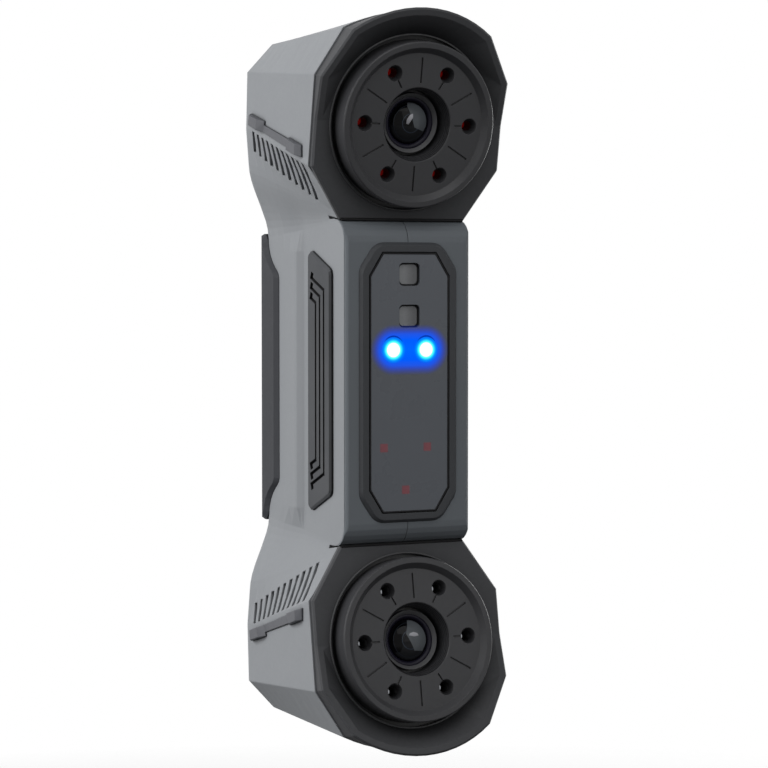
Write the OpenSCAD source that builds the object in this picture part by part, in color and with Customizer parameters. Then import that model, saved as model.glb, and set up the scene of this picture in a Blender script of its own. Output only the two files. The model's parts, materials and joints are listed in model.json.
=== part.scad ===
// Handheld twin-camera 3D scanner: two toed-in camera heads joined by a slim grip.
// +X is the right of the front view, the lenses face -Y, +Z runs along the grip.
// The origin is the middle of the bounding box; the scanner is symmetric about X and Z.

/* [Overall] */
// Distance between the two lens centres, measured on the lamp plates
baseline = 133.6; // [126:0.1:146]
// Angle by which each head turns in towards the middle
toe_in = 9.9; // [8:0.1:11]
// Depth from the visor tips to the back of the grip cover
overall_depth = 63; // [61:0.5:70]
// Wall thickness of the light side shells
shell_wall = 2; // [1.6:0.1:2.4]

/* [Camera head outline] */
// Distance from the lamp plate's edge to a head's flat sides
head_margin = 5.5; // [4.6:0.1:6]
// Half width where a head runs into the grip
neck_half_w = 18; // [17.4:0.1:19]
// Distance from the lamp plate's edge to the neck end of a head
neck_margin = 3.5; // [3.2:0.1:4.5]
// Lower corner of a head's flat side, below the lens centre
side_low = 11.9; // [10:0.1:13]
// Upper corner of a head's flat side, above the lens centre
side_high = 11.3; // [9:0.1:12.5]
// Half width at the shoulders of a head
shoulder_half_w = 19.9; // [18.5:0.1:21]
// Height of the shoulders above the lens centre
shoulder_high = 23.5; // [22.5:0.1:24.5]
// Distance from the lamp plate's edge to the visor's crown
crown_margin = 8.6; // [8:0.1:10]
// How far the shell's crown stays below the visor's
shell_crown_drop = 1.9; // [1.2:0.1:2.4]
// How far the light shell stands out past the bezel
shell_step = 0.4; // [0.2:0.1:0.8]
// Distance from a head's back wall to the back of the grip cover
head_back_gap = 5.8; // [5:0.1:9]
// Lean of a head's back wall
back_lean = 3.4; // [2:0.1:5]
// Radius of the shells' back edges
edge_r = 2.2; // [2.2:0.1:3]

/* [Bezel and visor] */
// Depth of the bezel face behind the lamp plate face
bezel_y = 4.3; // [3.8:0.1:4.8]
// Depth of the bezel's back face, where the shell starts
shell_front_y = 6; // [5.6:0.1:6.6]
// Slope of the visor's front edge
visor_angle = 9.4; // [7:0.1:11]
// Width of the visor's rim
visor_rim = 2; // [1.5:0.1:2.6]
// How far the bezels reach over the grip's rounded ends
neck_lap = 0.5; // [0:0.1:0.5]
// Width of the raised lip round a bezel's opening
lip_w = 0.45; // [0.3:0.05:0.6]
// Height of that lip
lip_h = 0.3; // [0.1:0.05:0.5]
// Gap between the lamp plate and the opening round it
opening_gap = 1.1; // [0.8:0.1:1.4]
// Chamfer on the bezel's front edges
bezel_chamfer = 0.5; // [0.3:0.1:0.8]

/* [Lamp plate] */
// Radius of the lamp plate
plate_r = 21.5; // [20.8:0.1:21.8]
// Width of the raised rim at the plate's edge
plate_rim_w = 1.6; // [1.2:0.1:2.4]
// Height of the raised rim
plate_rim_h = 1.4; // [0.8:0.1:1.6]
// Overall thickness of the plate
plate_t = 7.5; // [7:0.1:8]
// Radius of the circle of lamp holes
lamp_circle_r = 15; // [14.5:0.1:15.6]
// Number of lamps round each lens
lamp_count = 6; // [4:1:8]
// Depth of the lamps' tips in their holes
lamp_y = 4.2; // [3.8:0.1:5]
// Radius of a lamp
lamp_r = 1.2; // [1:0.05:1.4]
// Outer radius of a lamp hole's countersink
lamp_sink_r = 2.1; // [1.9:0.1:2.6]
// Depth of a lamp's countersink
lamp_sink_h = 1.7; // [1:0.1:2.4]
// Inner end of the long engraved marks
mark_in_r = 10.7; // [10.4:0.1:12]
// Outer end of the long engraved marks
mark_out_r = 17.3; // [15:0.1:18]
// Width of the engraved marks
mark_w = 0.45; // [0.3:0.05:0.7]

/* [Lens] */
// Radius of the lens well where it meets the plate's face
well_r = 9.7; // [9.4:0.1:10.2]
// Number of stepped rings round the well's mouth
thread_count = 4; // [2:1:5]
// Radius of the lens barrel
barrel_r = 7.8; // [7.4:0.1:8.2]
// Radius of the front lens element
lens_r = 5.3; // [4.8:0.1:5.6]
// Depth of the barrel's front end below the plate's face
barrel_y = 4.5; // [4:0.1:5]
// Radius of the barrel's rear collar
collar_r = 8.8; // [8.4:0.1:9.4]
// Clearance round a barrel in the plate and the frame
barrel_gap = 0.05; // [0.02:0.01:0.1]

/* [Grip] */
// Depth of the front cover's face behind the lamp plate centre
front_y = 5.45; // [5.2:0.05:5.8]
// Thickness of the front cover
front_t = 2.1; // [1.8:0.1:2.6]
// Radius with which the front cover turns back under the bezels
front_end_r = 6; // [5:0.1:7]
// Height of the front cover's lip over the side shells
front_lip = 0.65; // [0.4:0.05:0.9]
// Distance from the palm swell's front edge to the grip cover
swell_len = 13.9; // [12:0.1:15]
// Width of the sloping band in front of the palm swell
swell_band = 3.1; // [2:0.1:5]
// Height of the palm swell over the grip's sides
swell_h = 1.7; // [1:0.1:2]
// Half height of the palm swell at its front edge
swell_half_h = 34.4; // [30:0.1:36]

/* [Side pads] */
// Front edge of a pad
pad_y0 = 12.9; // [11.6:0.1:13.6]
// Distance from a pad's back edge to the palm swell
pad_gap = 3.3; // [2.5:0.1:5]
// Half height of a pad's front edge
pad_half_h = 29.2; // [26:0.1:31]
// Rise of a pad's sloping ends towards the back
pad_rise = 5.2; // [4:0.1:6]
// How far a pad stands out of the shell
pad_proud = 1; // [0.6:0.1:1.4]
// Depth of the pocket that a pad sits in
pad_pocket = 0.8; // [0.5:0.1:1]
// Place of the first groove, as a share of the pad's width
groove_start = 0.265; // [0.2:0.005:0.35]
// Pitch of the nested grooves, as a share of the pad's width
groove_pitch = 0.178; // [0.15:0.001:0.2]
// Width of a groove
groove_w = 0.95; // [0.5:0.05:1]
// Number of nested grooves
groove_count = 3; // [1:1:3]

/* [Vents and trims] */
// Number of vent slots on each side of a head
vent_count = 11; // [6:1:12]
// Width of a vent slot
vent_w = 1.5; // [1:0.1:2]
// Depth of the first slot
vent_y0 = 15.1; // [14:0.1:17]
// Distance from the last slot to the head's back wall
vent_back = 6.4; // [5:0.1:8]
// Upper end of the first slot, from the lens centre
vent_top_front = -9.9; // [-11:0.1:-9]
// Upper end of the last slot, from the lens centre
vent_top_back = 0; // [-1:0.1:0.3]
// Lower end of the first slot, from the lens centre
vent_low_front = -19.4; // [-20.5:0.1:-18]
// Lower end of the last slot, from the lens centre
vent_low_back = -5.4; // [-7:0.1:-5]
// How far the first slot's lower end lies behind its upper end
vent_lean = 4.2; // [0:0.1:5]
// Height of a side trim over the shell
trim_proud = 0.45; // [0.2:0.05:0.8]
// How much higher the trims' feet rise
trim_rise = 1.3; // [0.6:0.1:1.6]
// Depth of the pocket that a side trim sits in
trim_pocket = 1; // [0.6:0.1:1.2]

/* [Window] */
// Half width of the glass
glass_half_w = 11.5; // [10.5:0.1:11.8]
// Half height of the glass
glass_half_h = 33.9; // [31:0.1:34.5]
// Size of the glass's cut corners, across
glass_cut_w = 3.8; // [2.5:0.1:5]
// Size of the glass's cut corners, upwards
glass_cut_h = 6.1; // [4:0.1:8]
// Thickness of the glass
glass_t = 2; // [1.5:0.1:2.2]
// Width of the frame round the glass
frame_w = 2.7; // [2.2:0.1:2.9]
// Height of the frame over the front cover
frame_proud = 0.95; // [0.6:0.05:1.2]
// Corner radius of the frame's outer edge
frame_corner_r = 5; // [3:0.5:6]
// How far the frame laps over the front covers
frame_flange = 0.8; // [0.6:0.1:1]
// Width of the seam between the two front covers
seam_w = 0.12; // [0.04:0.02:0.2]
// Clearance round the glass
glass_gap = 0.2; // [0.1:0.05:0.3]

/* [Emitters behind the window] */
// Distance of each laser from the middle line
laser_x = 4.75; // [4.6:0.05:5.2]
// Height of the lasers
laser_z = 8.6; // [7:0.1:9.4]
// Radius of a laser's opening in the glass
laser_hole_r = 3.5; // [3:0.1:3.7]
// Radius of a laser module
laser_r = 4.2; // [3.8:0.05:4.4]
// Heights of the two square optics, the lower one
square_low_z = 17.4; // [16.8:0.1:18.5]
// Distance between the two square optics
square_pitch = 10.9; // [9:0.1:11.5]
// Side of a square optic
square_side = 5.1; // [4.5:0.1:5.3]
// Side of one infrared emitter
ir_side = 2.4; // [2:0.1:3]
// Distance of the infrared pair from the middle line
ir_x = 6.3; // [5:0.1:7]
// Height of the infrared pair
ir_z = -16.9; // [-19:0.1:-15]
// Height of the single infrared emitter
ir_low_z = -27.9; // [-29:0.1:-26]

/* [Back of the grip] */
// Half width of the grip cover
cover_half_w = 20.9; // [20.2:0.1:21.5]
// Depth of the grip cover, from its front edge to its back
cover_depth = 12.6; // [11:0.1:14]
// Half height of the cover's front edge
cover_half_h = 28.3; // [26:0.1:30]
// Chamfer along the cover's front edges
cover_chamfer = 1; // [0.6:0.1:1.4]
// Wall thickness of the cover
cover_wall = 2; // [1.6:0.1:2.2]
// Radius of the scan button
scan_button_r = 6; // [5:0.1:7]
// Radius of the up and down buttons
small_button_r = 4; // [3.5:0.1:4.5]
// Distance from the scan button to a small button
button_pitch = 15; // [13:0.1:17]
// How far a button stands out of the cover
button_proud = 1.2; // [1:0.1:1.6]
// Travel of a button
button_travel = 0.7; // [0.5:0.1:0.8]
// Clearance round a button
button_gap = 0.3; // [0.3:0.05:0.4]
// Radius of the status light
light_r = 1.5; // [1:0.1:2]
// Height of the status light
light_z = 27.4; // [26:0.1:27.6]

/* [Cable socket] */
// Height of the socket's axis, from the middle of the grip
socket_z = -70; // [-74:0.5:-64]
// Radius of the socket's bore
socket_bore_r = 4.6; // [4:0.1:5.4]
// Length of the socket's bore
socket_bore_l = 9; // [7:0.5:11]
// Radius of the contacts in the socket's floor
contact_r = 0.5; // [0.3:0.05:0.7]
// Length of the contacts, from the socket's floor inwards
contact_l = 2.6; // [1.5:0.1:4]
// Radius of the socket's flange
socket_flange_r = 8; // [7.5:0.1:9]

/* [Inside] */
// Half width of the optical frame's beam
beam_half_w = 11.5; // [11:0.1:13]
// Depth of the beam's front face
beam_y = 15; // [14.5:0.1:16]
// Thickness of the beam
beam_t = 4; // [3:0.1:5]
// Depth of the main board's front face
board_y = 34; // [33.6:0.2:36]
// Thickness of the circuit boards
pcb_t = 1.6; // [1.2:0.1:1.6]
// Number of fins on the heat sink
fin_count = 7; // [4:1:9]

/* [Hidden] */

eps = 0.01;
big = 200;
arc_steps = 14;

light_shell = "#b9bdc2";
slate = "#4f555b";
near_black = "#303134";
soft_grey = "#56585c";

// ---- Places worked out from the sizes above ----
half_base = baseline / 2;
head_half_w = plate_r + head_margin;
neck_drop = plate_r + neck_margin;
crown_high = plate_r + crown_margin;
shell_crown_high = crown_high - shell_crown_drop;
opening_r = plate_r + opening_gap;
// depth and height of a point of the upper head, given in the head's own frame
function head_point(y, z) = [
    y * cos(toe_in) - z * sin(toe_in),
    half_base + y * sin(toe_in) + z * cos(toe_in)];
visor_tip = head_point(bezel_y - (crown_high - bezel_chamfer) * tan(visor_angle),
    crown_high - bezel_chamfer);
neck_end = head_point(bezel_y, -neck_drop);
neck_z = neck_end[1] - 0.2;
back_y = visor_tip[0] + overall_depth;
middle_y = (visor_tip[0] + back_y + button_proud) / 2;
head_back_y = back_y - head_back_gap;
cover_y = back_y - cover_depth;
swell_y = cover_y - swell_len;
pad_y1 = swell_y - pad_gap;
body_back_y = back_y - 3.2;
side_y = front_y + front_lip;
side_half_w = neck_half_w + 0.1;
front_flat_z = neck_z - front_end_r;
swell_half_w = side_half_w + swell_h;
// where a head's flat side ends at the back wall, above the lens centre
flat_end_z = 1;
// length of the cut through the shell at a vent slot
vent_cut = 7;
inner_half_w = side_half_w - shell_wall;
sill_z = neck_z - shell_wall;
frame_front_y = front_y - frame_proud;
glass_y = frame_front_y + 0.05;
glass_back_y = glass_y + glass_t;
bracket_y = 9.4;
bracket_t = 2;
bracket_post_z = 30;
board_post_z = 38;
switch_h = 2.4;
// shell screws: their bosses stand right behind the beam of the optical frame
boss_r = 2.6;
boss_places = [for (z = [27, 19]) for (m = [-1, 1]) [beam_y + beam_t + boss_r, m * z]];
outer_bosses = [for (p = boss_places) if (abs(p[1]) > 20) p];
inner_bosses = [for (p = boss_places) if (abs(p[1]) < 20) p];
screw_r = 1.25;
screw_head_r = 2;
screw_head_x = side_half_w - pad_pocket - 0.6;
rib_places = [-34, 34];
// stepped rings round the mouth of a lens well
thread_p = 0.55;
thread_d = 0.2;
// camera barrel, seat and socket depths
barrel_end = 13;
seat_y = barrel_end - 1;
lens_ball_r = 12;
socket_seat_y = head_back_y - 3.6;
square_lens_y = glass_y + 0.9;
button_floor = back_y - cover_wall;
board_front = button_floor - 6.4;
square_high_z = square_low_z + square_pitch;

// ---- Outlines ----
// unit normal to the right of the line from a to b
function edge_normal(a, b) = let (v = b - a) [v[1], -v[0]] / norm(v);
// moves every corner of a counter-clockwise outline in by d
function inset(pts, d) = let (n = len(pts)) [for (i = [0 : n - 1])
    let (n1 = edge_normal(pts[(i + n - 1) % n], pts[i]), n2 = edge_normal(pts[i], pts[(i + 1) % n]))
    pts[i] - d * (n1 + n2) / (1 + n1 * n2)];
// an outline with its corners rounded to r, in steps of arcs
function round_corners(pts, r, steps = 5) = let (c = len(pts)) [for (i = [0 : c - 1])
    let (p = pts[i], a = pts[(i + c - 1) % c] - p, b = pts[(i + 1) % c] - p, u = a / norm(a), v = b / norm(b),
        half = acos(u * v) / 2, middle = p + (u + v) / norm(u + v) * r / sin(half),
        q = p + u * r / tan(half) - middle, turn = cross(q, p + v * r / tan(half) - middle) > 0 ? 1 : -1)
    for (k = [0 : steps]) let (t = turn * (180 - 2 * half) * k / steps)
        middle + [q[0] * cos(t) - q[1] * sin(t), q[0] * sin(t) + q[1] * cos(t)]];
function mirrored(pts) = [for (i = [len(pts) - 1 : -1 : 0]) [-pts[i][0], pts[i][1]]];
// the arc from one shoulder over the crown to the other, without its ends
function crown_arc(w, h, crown) = let (
    r = (w * w + pow(crown - h, 2)) / (2 * (crown - h)),
    a0 = asin(w / r))
    [for (i = [1 : arc_steps - 1]) let (a = a0 * (1 - 2 * i / arc_steps))
        [r * sin(a), crown - r + r * cos(a)]];
// closed outline, symmetric about x = 0, from its right-hand corners and its crown
function crowned(right, crown) = let (top = right[len(right) - 1])
    concat(right, crown_arc(top[0], top[1], crown), mirrored(right));
// outline of a head, from z = low at the bottom up to the crown
function bezel_outline(crown) = crowned([
    [neck_half_w, -neck_drop], [head_half_w, -side_low],
    [head_half_w, side_high], [shoulder_half_w, shoulder_high]], crown);
upper_part = crowned([[head_half_w, -1], [head_half_w, side_high], [shoulder_half_w, shoulder_high]],
    crown_high);
lower_part = [[neck_half_w, -neck_drop - neck_lap], [head_half_w, -side_low], [head_half_w, 1],
    [-head_half_w, 1], [-head_half_w, -side_low], [-neck_half_w, -neck_drop - neck_lap]];
// half an outline of a head above its vents, from the crown's top to the lower end of its flat side
function half_outline(shoulder, side, crown) = let (arc = crown_arc(shoulder[0], shoulder[1], crown))
    concat([for (i = [arc_steps / 2 : -1 : 1]) arc[i - 1]], [shoulder, side]);
shell_half_w = head_half_w + shell_step;
back_crown_high = shell_crown_high - 1.5;
// those outlines at the shell's front edge and at its back wall, moved in by d
function front_half(d) = half_outline([shoulder_half_w - 0.7 * d, shoulder_high - 0.7 * d],
    [head_half_w - d, side_high - 0.4 * d], shell_crown_high - d);
function back_half(d) = half_outline([shoulder_half_w + 0.5 - 0.7 * d, shoulder_high + 0.7 - 0.7 * d],
    [shell_half_w - d, side_high + 5.2 - 0.4 * d], back_crown_high - d);
// closed (y, z) outline, symmetric about z = 0, from its upper corners, front to back
function both_ways(up) = concat([for (p = up) [p[0], -p[1]]],
    [for (i = [len(up) - 1 : -1 : 0]) up[i]]);

// ---- Helpers ----
module axis_y() rotate([-90, 0, 0]) children();
// an (x, z) outline drawn out along Y
module slab_y(pts, y0, y1) translate([0, y1, 0]) rotate([90, 0, 0]) linear_extrude(y1 - y0) polygon(pts);
// a (y, z) outline drawn out along X, half on each side
module slab_x(pts, half) rotate([90, 0, 90]) translate([0, 0, -half]) linear_extrude(2 * half) polygon(pts);
// a cylinder along Y from y0 to y1
module rod_y(r, y0, y1, x = 0, z = 0) translate([x, y0, z]) axis_y() cylinder(r = r, h = y1 - y0);
module cone_y(r0, r1, y0, y1, x = 0, z = 0) translate([x, y0, z]) axis_y() cylinder(r1 = r0, r2 = r1, h = y1 - y0);
module ring_y(r_out, r_in, y0, y1) difference() {
    rod_y(r_out, y0, y1);
    rod_y(r_in, y0 - 1, y1 + 1);
}
module box(x, y0, y1, z0, z1) translate([-x, y0, z0]) cube([2 * x, y1 - y0, z1 - z0]);
// the upper head's frame: its lens centre and its toe-in
module upper() translate([0, 0, half_base]) rotate([toe_in, 0, 0]) children();
module lower() mirror([0, 0, 1]) upper() children();
module left_half() intersection() {
    children();
    translate([-big, -big, -big]) cube([big, 2 * big, 2 * big]);
}
module around(n, offset_angle = 0) for (i = [0 : n - 1]) rotate([0, offset_angle + i * 360 / n, 0]) children();
// moves the whole scanner so that the middle of its bounding box is the origin
module placed() translate([0, -middle_y, 0]) children();

// ---- Bezels with their visors ----
module on_visor(y) translate([0, y, 0]) rotate([visor_angle, 0, 0]) scale([1, 1, 1 / cos(visor_angle)]) children();
module bezel_solid() {
    hull() {
        slab_y(lower_part, bezel_y + bezel_chamfer, shell_front_y);
        slab_y(inset(lower_part, bezel_chamfer), bezel_y, bezel_y + eps);
    }
    hull() {
        intersection() {
            slab_y(bezel_outline(shell_crown_high), shell_front_y - eps, shell_front_y);
            box(big, 0, big, -1, big);
        }
        on_visor(bezel_y + bezel_chamfer) slab_y(upper_part, 0, eps);
        on_visor(bezel_y) slab_y(inset(upper_part, bezel_chamfer), 0, eps);
    }
}
module bezel() difference() {
    union() {
        difference() {
            bezel_solid();
            hull() {
                rod_y(opening_r + lip_w + 0.1, bezel_y - eps, bezel_y, $fn = 60);
                on_visor(bezel_y) slab_y(inset(upper_part, visor_rim), -3, 0);
            }
        }
        rod_y(opening_r + lip_w, bezel_y - lip_h, bezel_y + 0.5);
    }
    rod_y(opening_r, -big, big);
}

// ---- Lamp plate, lamps and their board ----
module lamp_plate() difference() {
    axis_y() rotate_extrude() polygon([
        [barrel_r + barrel_gap, 6.2], [well_r - 1.1, 6.2],
        for (i = [thread_count : -1 : 1]) each [[well_r - thread_d * (i + 1), thread_p * i],
            [well_r - thread_d * i - thread_d / 2, thread_p * (i - 0.3)]],
        [well_r, 0],
        [plate_r - plate_rim_w - plate_rim_h, 0], [plate_r - plate_rim_w, -plate_rim_h],
        [plate_r - 0.3, -plate_rim_h], [plate_r, 0.3 - plate_rim_h], [plate_r, shell_front_y],
        [plate_r + 1.7, shell_front_y], [plate_r + 1.7, plate_t], [barrel_r + barrel_gap, plate_t]]);
    around(lamp_count) {
        rod_y(lamp_r + 0.1, -1, plate_t + 1, lamp_circle_r);
        cone_y(lamp_sink_r, lamp_r + 0.1, 0, lamp_sink_h, lamp_circle_r);
        translate([mark_in_r, -1, -mark_w / 2]) cube([lamp_circle_r - lamp_r - mark_in_r, 1.4, mark_w]);
    }
    around(lamp_count, 180 / lamp_count)
        translate([mark_in_r, -1, -mark_w / 2]) cube([mark_out_r - mark_in_r, 1.4, mark_w]);
}
module lamps() around(lamp_count) translate([lamp_circle_r, 0, 0]) {
    rod_y(lamp_r, lamp_y + lamp_r, plate_t);
    translate([0, lamp_y + lamp_r, 0]) sphere(r = lamp_r);
}
module lamp_board() ring_y(plate_r - 0.5, barrel_r + 2.5, plate_t, plate_t + 1.2);

// ---- Lenses and cameras ----
module lens_barrel() axis_y() rotate_extrude() polygon([
    [lens_r - 0.8, barrel_y + 2.6], [lens_r, barrel_y + 2.6], [lens_r, barrel_y + 0.6], [lens_r + 0.2, barrel_y + 0.3],
    [lens_r + 0.7, barrel_y], [lens_r + 0.9, barrel_y + 0.1], [barrel_r, barrel_y + 1.1], [barrel_r, barrel_end - 3],
    [collar_r, barrel_end - 3], [collar_r, barrel_end + 5], [lens_r - 0.8, barrel_end + 5]]);
module lens() axis_y() rotate_extrude() polygon(concat(
    [for (i = [0 : 8]) let (x = lens_r * i / 8)
        [x, barrel_y + 0.2 + lens_ball_r - sqrt(pow(lens_ball_r, 2) - x * x)]],
    [[lens_r, barrel_y + 2.6], [0, barrel_y + 2.6]]));
module camera_housing() difference() {
    box(12, barrel_end + 3, barrel_end + 14, -12, 12);
    rod_y(collar_r + barrel_gap, barrel_end, barrel_end + 5);
    rod_y(lens_r, barrel_end, barrel_end + 15);
}
module sensor_board() box(13, barrel_end + 14, barrel_end + 14 + pcb_t, -13, 13);

// ---- Optical frame: one stiff beam that carries both cameras ----
module head_seat() {
    rod_y(17, seat_y, seat_y + 4);
    for (sx = [-1, 1]) rod_y(2.5, plate_t + 1.2, seat_y + eps, sx * 12.5, 8);
    for (sx = [-1, 1]) rod_y(2.5, plate_t + 1.2, seat_y + eps, sx * 12.5, -8);
}
module optical_frame() difference() {
    union() {
        upper() head_seat();
        lower() head_seat();
        box(beam_half_w, beam_y, beam_y + beam_t, 14 - half_base, half_base - 14);
        for (m = [-1, 1]) for (sx = [-1, 1]) {
            rod_y(2.2, bracket_y + bracket_t, beam_y + eps, sx * 8, m * bracket_post_z);
            rod_y(2.4, beam_y + beam_t - eps, board_y, sx * 9, m * board_post_z);
        }
    }
    upper() rod_y(collar_r + barrel_gap, 0, 40);
    lower() rod_y(collar_r + barrel_gap, 0, 40);
    for (sx = [-1, 1]) rod_y(laser_r + 0.15, 0, 40, sx * laser_x, laser_z);
    for (z = [square_low_z, square_high_z]) box(square_side / 2 + 1.2, 0, 40, z - 3.7, z + 3.7);
    for (z = [-44, -12, 0]) rod_y(3.5, 0, 40, 0, z);
}

// ---- Window with its frame ----
function window_outline(g) = let (w = glass_half_w + g, h = glass_half_h + g, c = 0.3 * g)
    [[w, -(h - glass_cut_h - c)], [w, h - glass_cut_h - c], [w - glass_cut_w - c, h], [-(w - glass_cut_w - c), h],
    [-w, h - glass_cut_h - c], [-w, -(h - glass_cut_h - c)], [-(w - glass_cut_w - c), -h], [w - glass_cut_w - c, -h]];
// the frame's outline, with rounded corners
function frame_outline(g) = round_corners(window_outline(g), frame_corner_r + g - frame_w);
module window_frame() difference() {
    union() {
        hull() {
            slab_y(frame_outline(frame_w), front_y - eps, front_y);
            slab_y(frame_outline(frame_w - frame_flange), frame_front_y, frame_front_y + eps);
        }
        slab_y(frame_outline(frame_w - frame_flange - 0.1), front_y - eps, glass_back_y + 1);
    }
    slab_y(window_outline(glass_gap), 0, glass_back_y);
    slab_y(window_outline(-1), 0, big);
}
module rounded_square(side, r, y0, y1, z) translate([0, 0, z]) {
    box(side / 2, y0, y1, -side / 2 + r, side / 2 - r);
    box(side / 2 - r, y0, y1, -side / 2, side / 2);
    for (sx = [-1, 1]) for (sz = [-1, 1]) rod_y(r, y0, y1, sx * (side / 2 - r), sz * (side / 2 - r));
}
module window_glass() difference() {
    slab_y(window_outline(0), glass_y, glass_back_y);
    for (z = [square_low_z, square_high_z]) rounded_square(square_side + 0.9, 1.2, 0, 20, z);
    for (sx = [-1, 1]) rod_y(laser_hole_r, 0, 20, sx * laser_x, laser_z);
}
module square_lens(z) rounded_square(square_side, 1.1, square_lens_y, glass_back_y + 0.6, z);

// ---- Emitters and their bracket ----
module optics_bracket() difference() {
    union() {
        box(beam_half_w, bracket_y, bracket_y + bracket_t, -glass_half_h, glass_half_h);
        for (sx = [-1, 1]) for (z = [-31, 0, 24])
            rod_y(1.4, glass_back_y + 1, bracket_y + eps, sx * (glass_half_w - 1.6), z);
    }
    for (sx = [-1, 1]) rod_y(laser_r + 0.1, 0, 40, sx * laser_x, laser_z);
    for (z = [square_low_z, square_high_z]) box(square_side / 2 + 0.9, 0, 40, z - 3.4, z + 3.4);
}
module laser() difference() {
    union() {
        rod_y(laser_hole_r - 0.3, glass_y + 0.6, glass_back_y + 0.4);
        rod_y(laser_r, glass_back_y + 0.4, bracket_y + 16);
    }
    rod_y(1.6, 0, glass_y + 1.6);
}
module square_module(z, depth) {
    box(square_side / 2 + 0.8, glass_back_y + 0.6, glass_back_y + 0.6 + depth, z - 3.3, z + 3.3);
}
module infrared_board() box(8.2, bracket_y - 1.2, bracket_y, ir_low_z - 4, ir_z + 4);
ir_places = [[-ir_x, ir_z], [ir_x, ir_z], [0, ir_low_z]];
module infrared_emitters() for (p = ir_places)
    translate([p[0], 0, 0]) box(ir_side / 2, bracket_y - 2.2, bracket_y - 1.2, p[1] - ir_side / 2, p[1] + ir_side / 2);

// ---- Light side shells ----
// points of a half outline at a head's front edge and in the leaning plane of its back wall
function front_point(p) = let (q = head_point(shell_front_y, p[1])) [-p[0], q[0], q[1]];
function back_point(p, back) = [-p[0], head_back_y - back - p[1] * sin(back_lean),
    half_base + p[1] * cos(back_lean)];

// The shell is one smooth surface in rows. The first rows are the head's outline above its vents. Then come
// the lower edge of the flat side and the end of the vent facet; from there the surface eases into the grip,
// and the last row is the middle of the grip.
function smooth(t) = let (c = min(1, max(0, t))) c * c * (3 - 2 * c);
flat_front = head_point(shell_front_y, -side_low);
flat_slope = (half_base + flat_end_z - flat_front[1]) / (head_back_y - edge_r - flat_front[0]);
function flat_edge_z(y) = flat_front[1] + flat_slope * (y - flat_front[0]);
// the lower edge of the vent facet widens and rises from depth facet_y back
facet_y = 10;
facet_widen = 0.2;
facet_rise = 0.36;
// slope of the line where the neck's curve ends on the grip
grip_end_fall = 0.09;
function facet_end(y) = let (d = max(0, y - facet_y))
    [min(shell_half_w, side_half_w + 0.5 + facet_widen * d), neck_z + 1.6 + facet_rise * d];
function grip_end_z(y) = neck_z - 0.5 - grip_end_fall * max(0, y - facet_y);
// half width of the vent facet at depth y and height z
function facet_x(y, z) = let (f = facet_end(y), u = flat_edge_z(y))
    f[0] + (shell_half_w - f[0]) * (z - f[1]) / (u - f[1]);
function band(y, w) = side_half_w + swell_h * smooth((y - swell_y) / w);
flare_steps = 9;
// the profile at depth y: points [x, z] from the head down to the middle of the grip
function side_profile(y) = let (
    f = facet_end(y), g = [band(y, 4.5 * swell_band), grip_end_z(y)],
    u = flat_edge_z(y), h = f[1] - g[1],
    m = 0.7 * (shell_half_w - f[0]) / (u - f[1]))
    concat([[shell_half_w, u]],
        [for (k = [0 : flare_steps]) let (t = 1 - k / flare_steps, e = smooth(t))
            [g[0] + (f[0] - g[0]) * e + m * h * t * t * (t - 1), g[1] + h * t]],
        [[band(y, swell_band), swell_half_h], [band(y, swell_band), 0]]);
// depth of the back wall at height z; it bends outwards below the lens centre, towards the grip
back_bend = 9;
back_slope = 0.165;
function back_wall_y(z) = z > half_base - back_bend
    ? head_back_y + (half_base - z) * tan(back_lean)
    : min(body_back_y, head_back_y + back_bend * tan(back_lean) + back_slope * (half_base - back_bend - z));
band_end = swell_y + swell_band + 0.5;
side_stations = concat([for (k = [0 : 5]) 4 + (swell_y - 5.5) * k / 5],
    [for (k = [0 : 4]) swell_y - 0.5 + (swell_band + 1) * k / 4],
    [for (k = [1 : 3]) band_end + (head_back_y - edge_r - band_end) * k / 4]);
// triangles of a strip of quads between two runs of point numbers, without those that have shrunk to a line
function strip(a, b) = [for (i = [0 : len(a) - 2]) for (t = [[a[i], a[i + 1], b[i]], [a[i + 1], b[i + 1], b[i]]])
    if (t[0] != t[1] && t[1] != t[2] && t[0] != t[2]) t];
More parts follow.
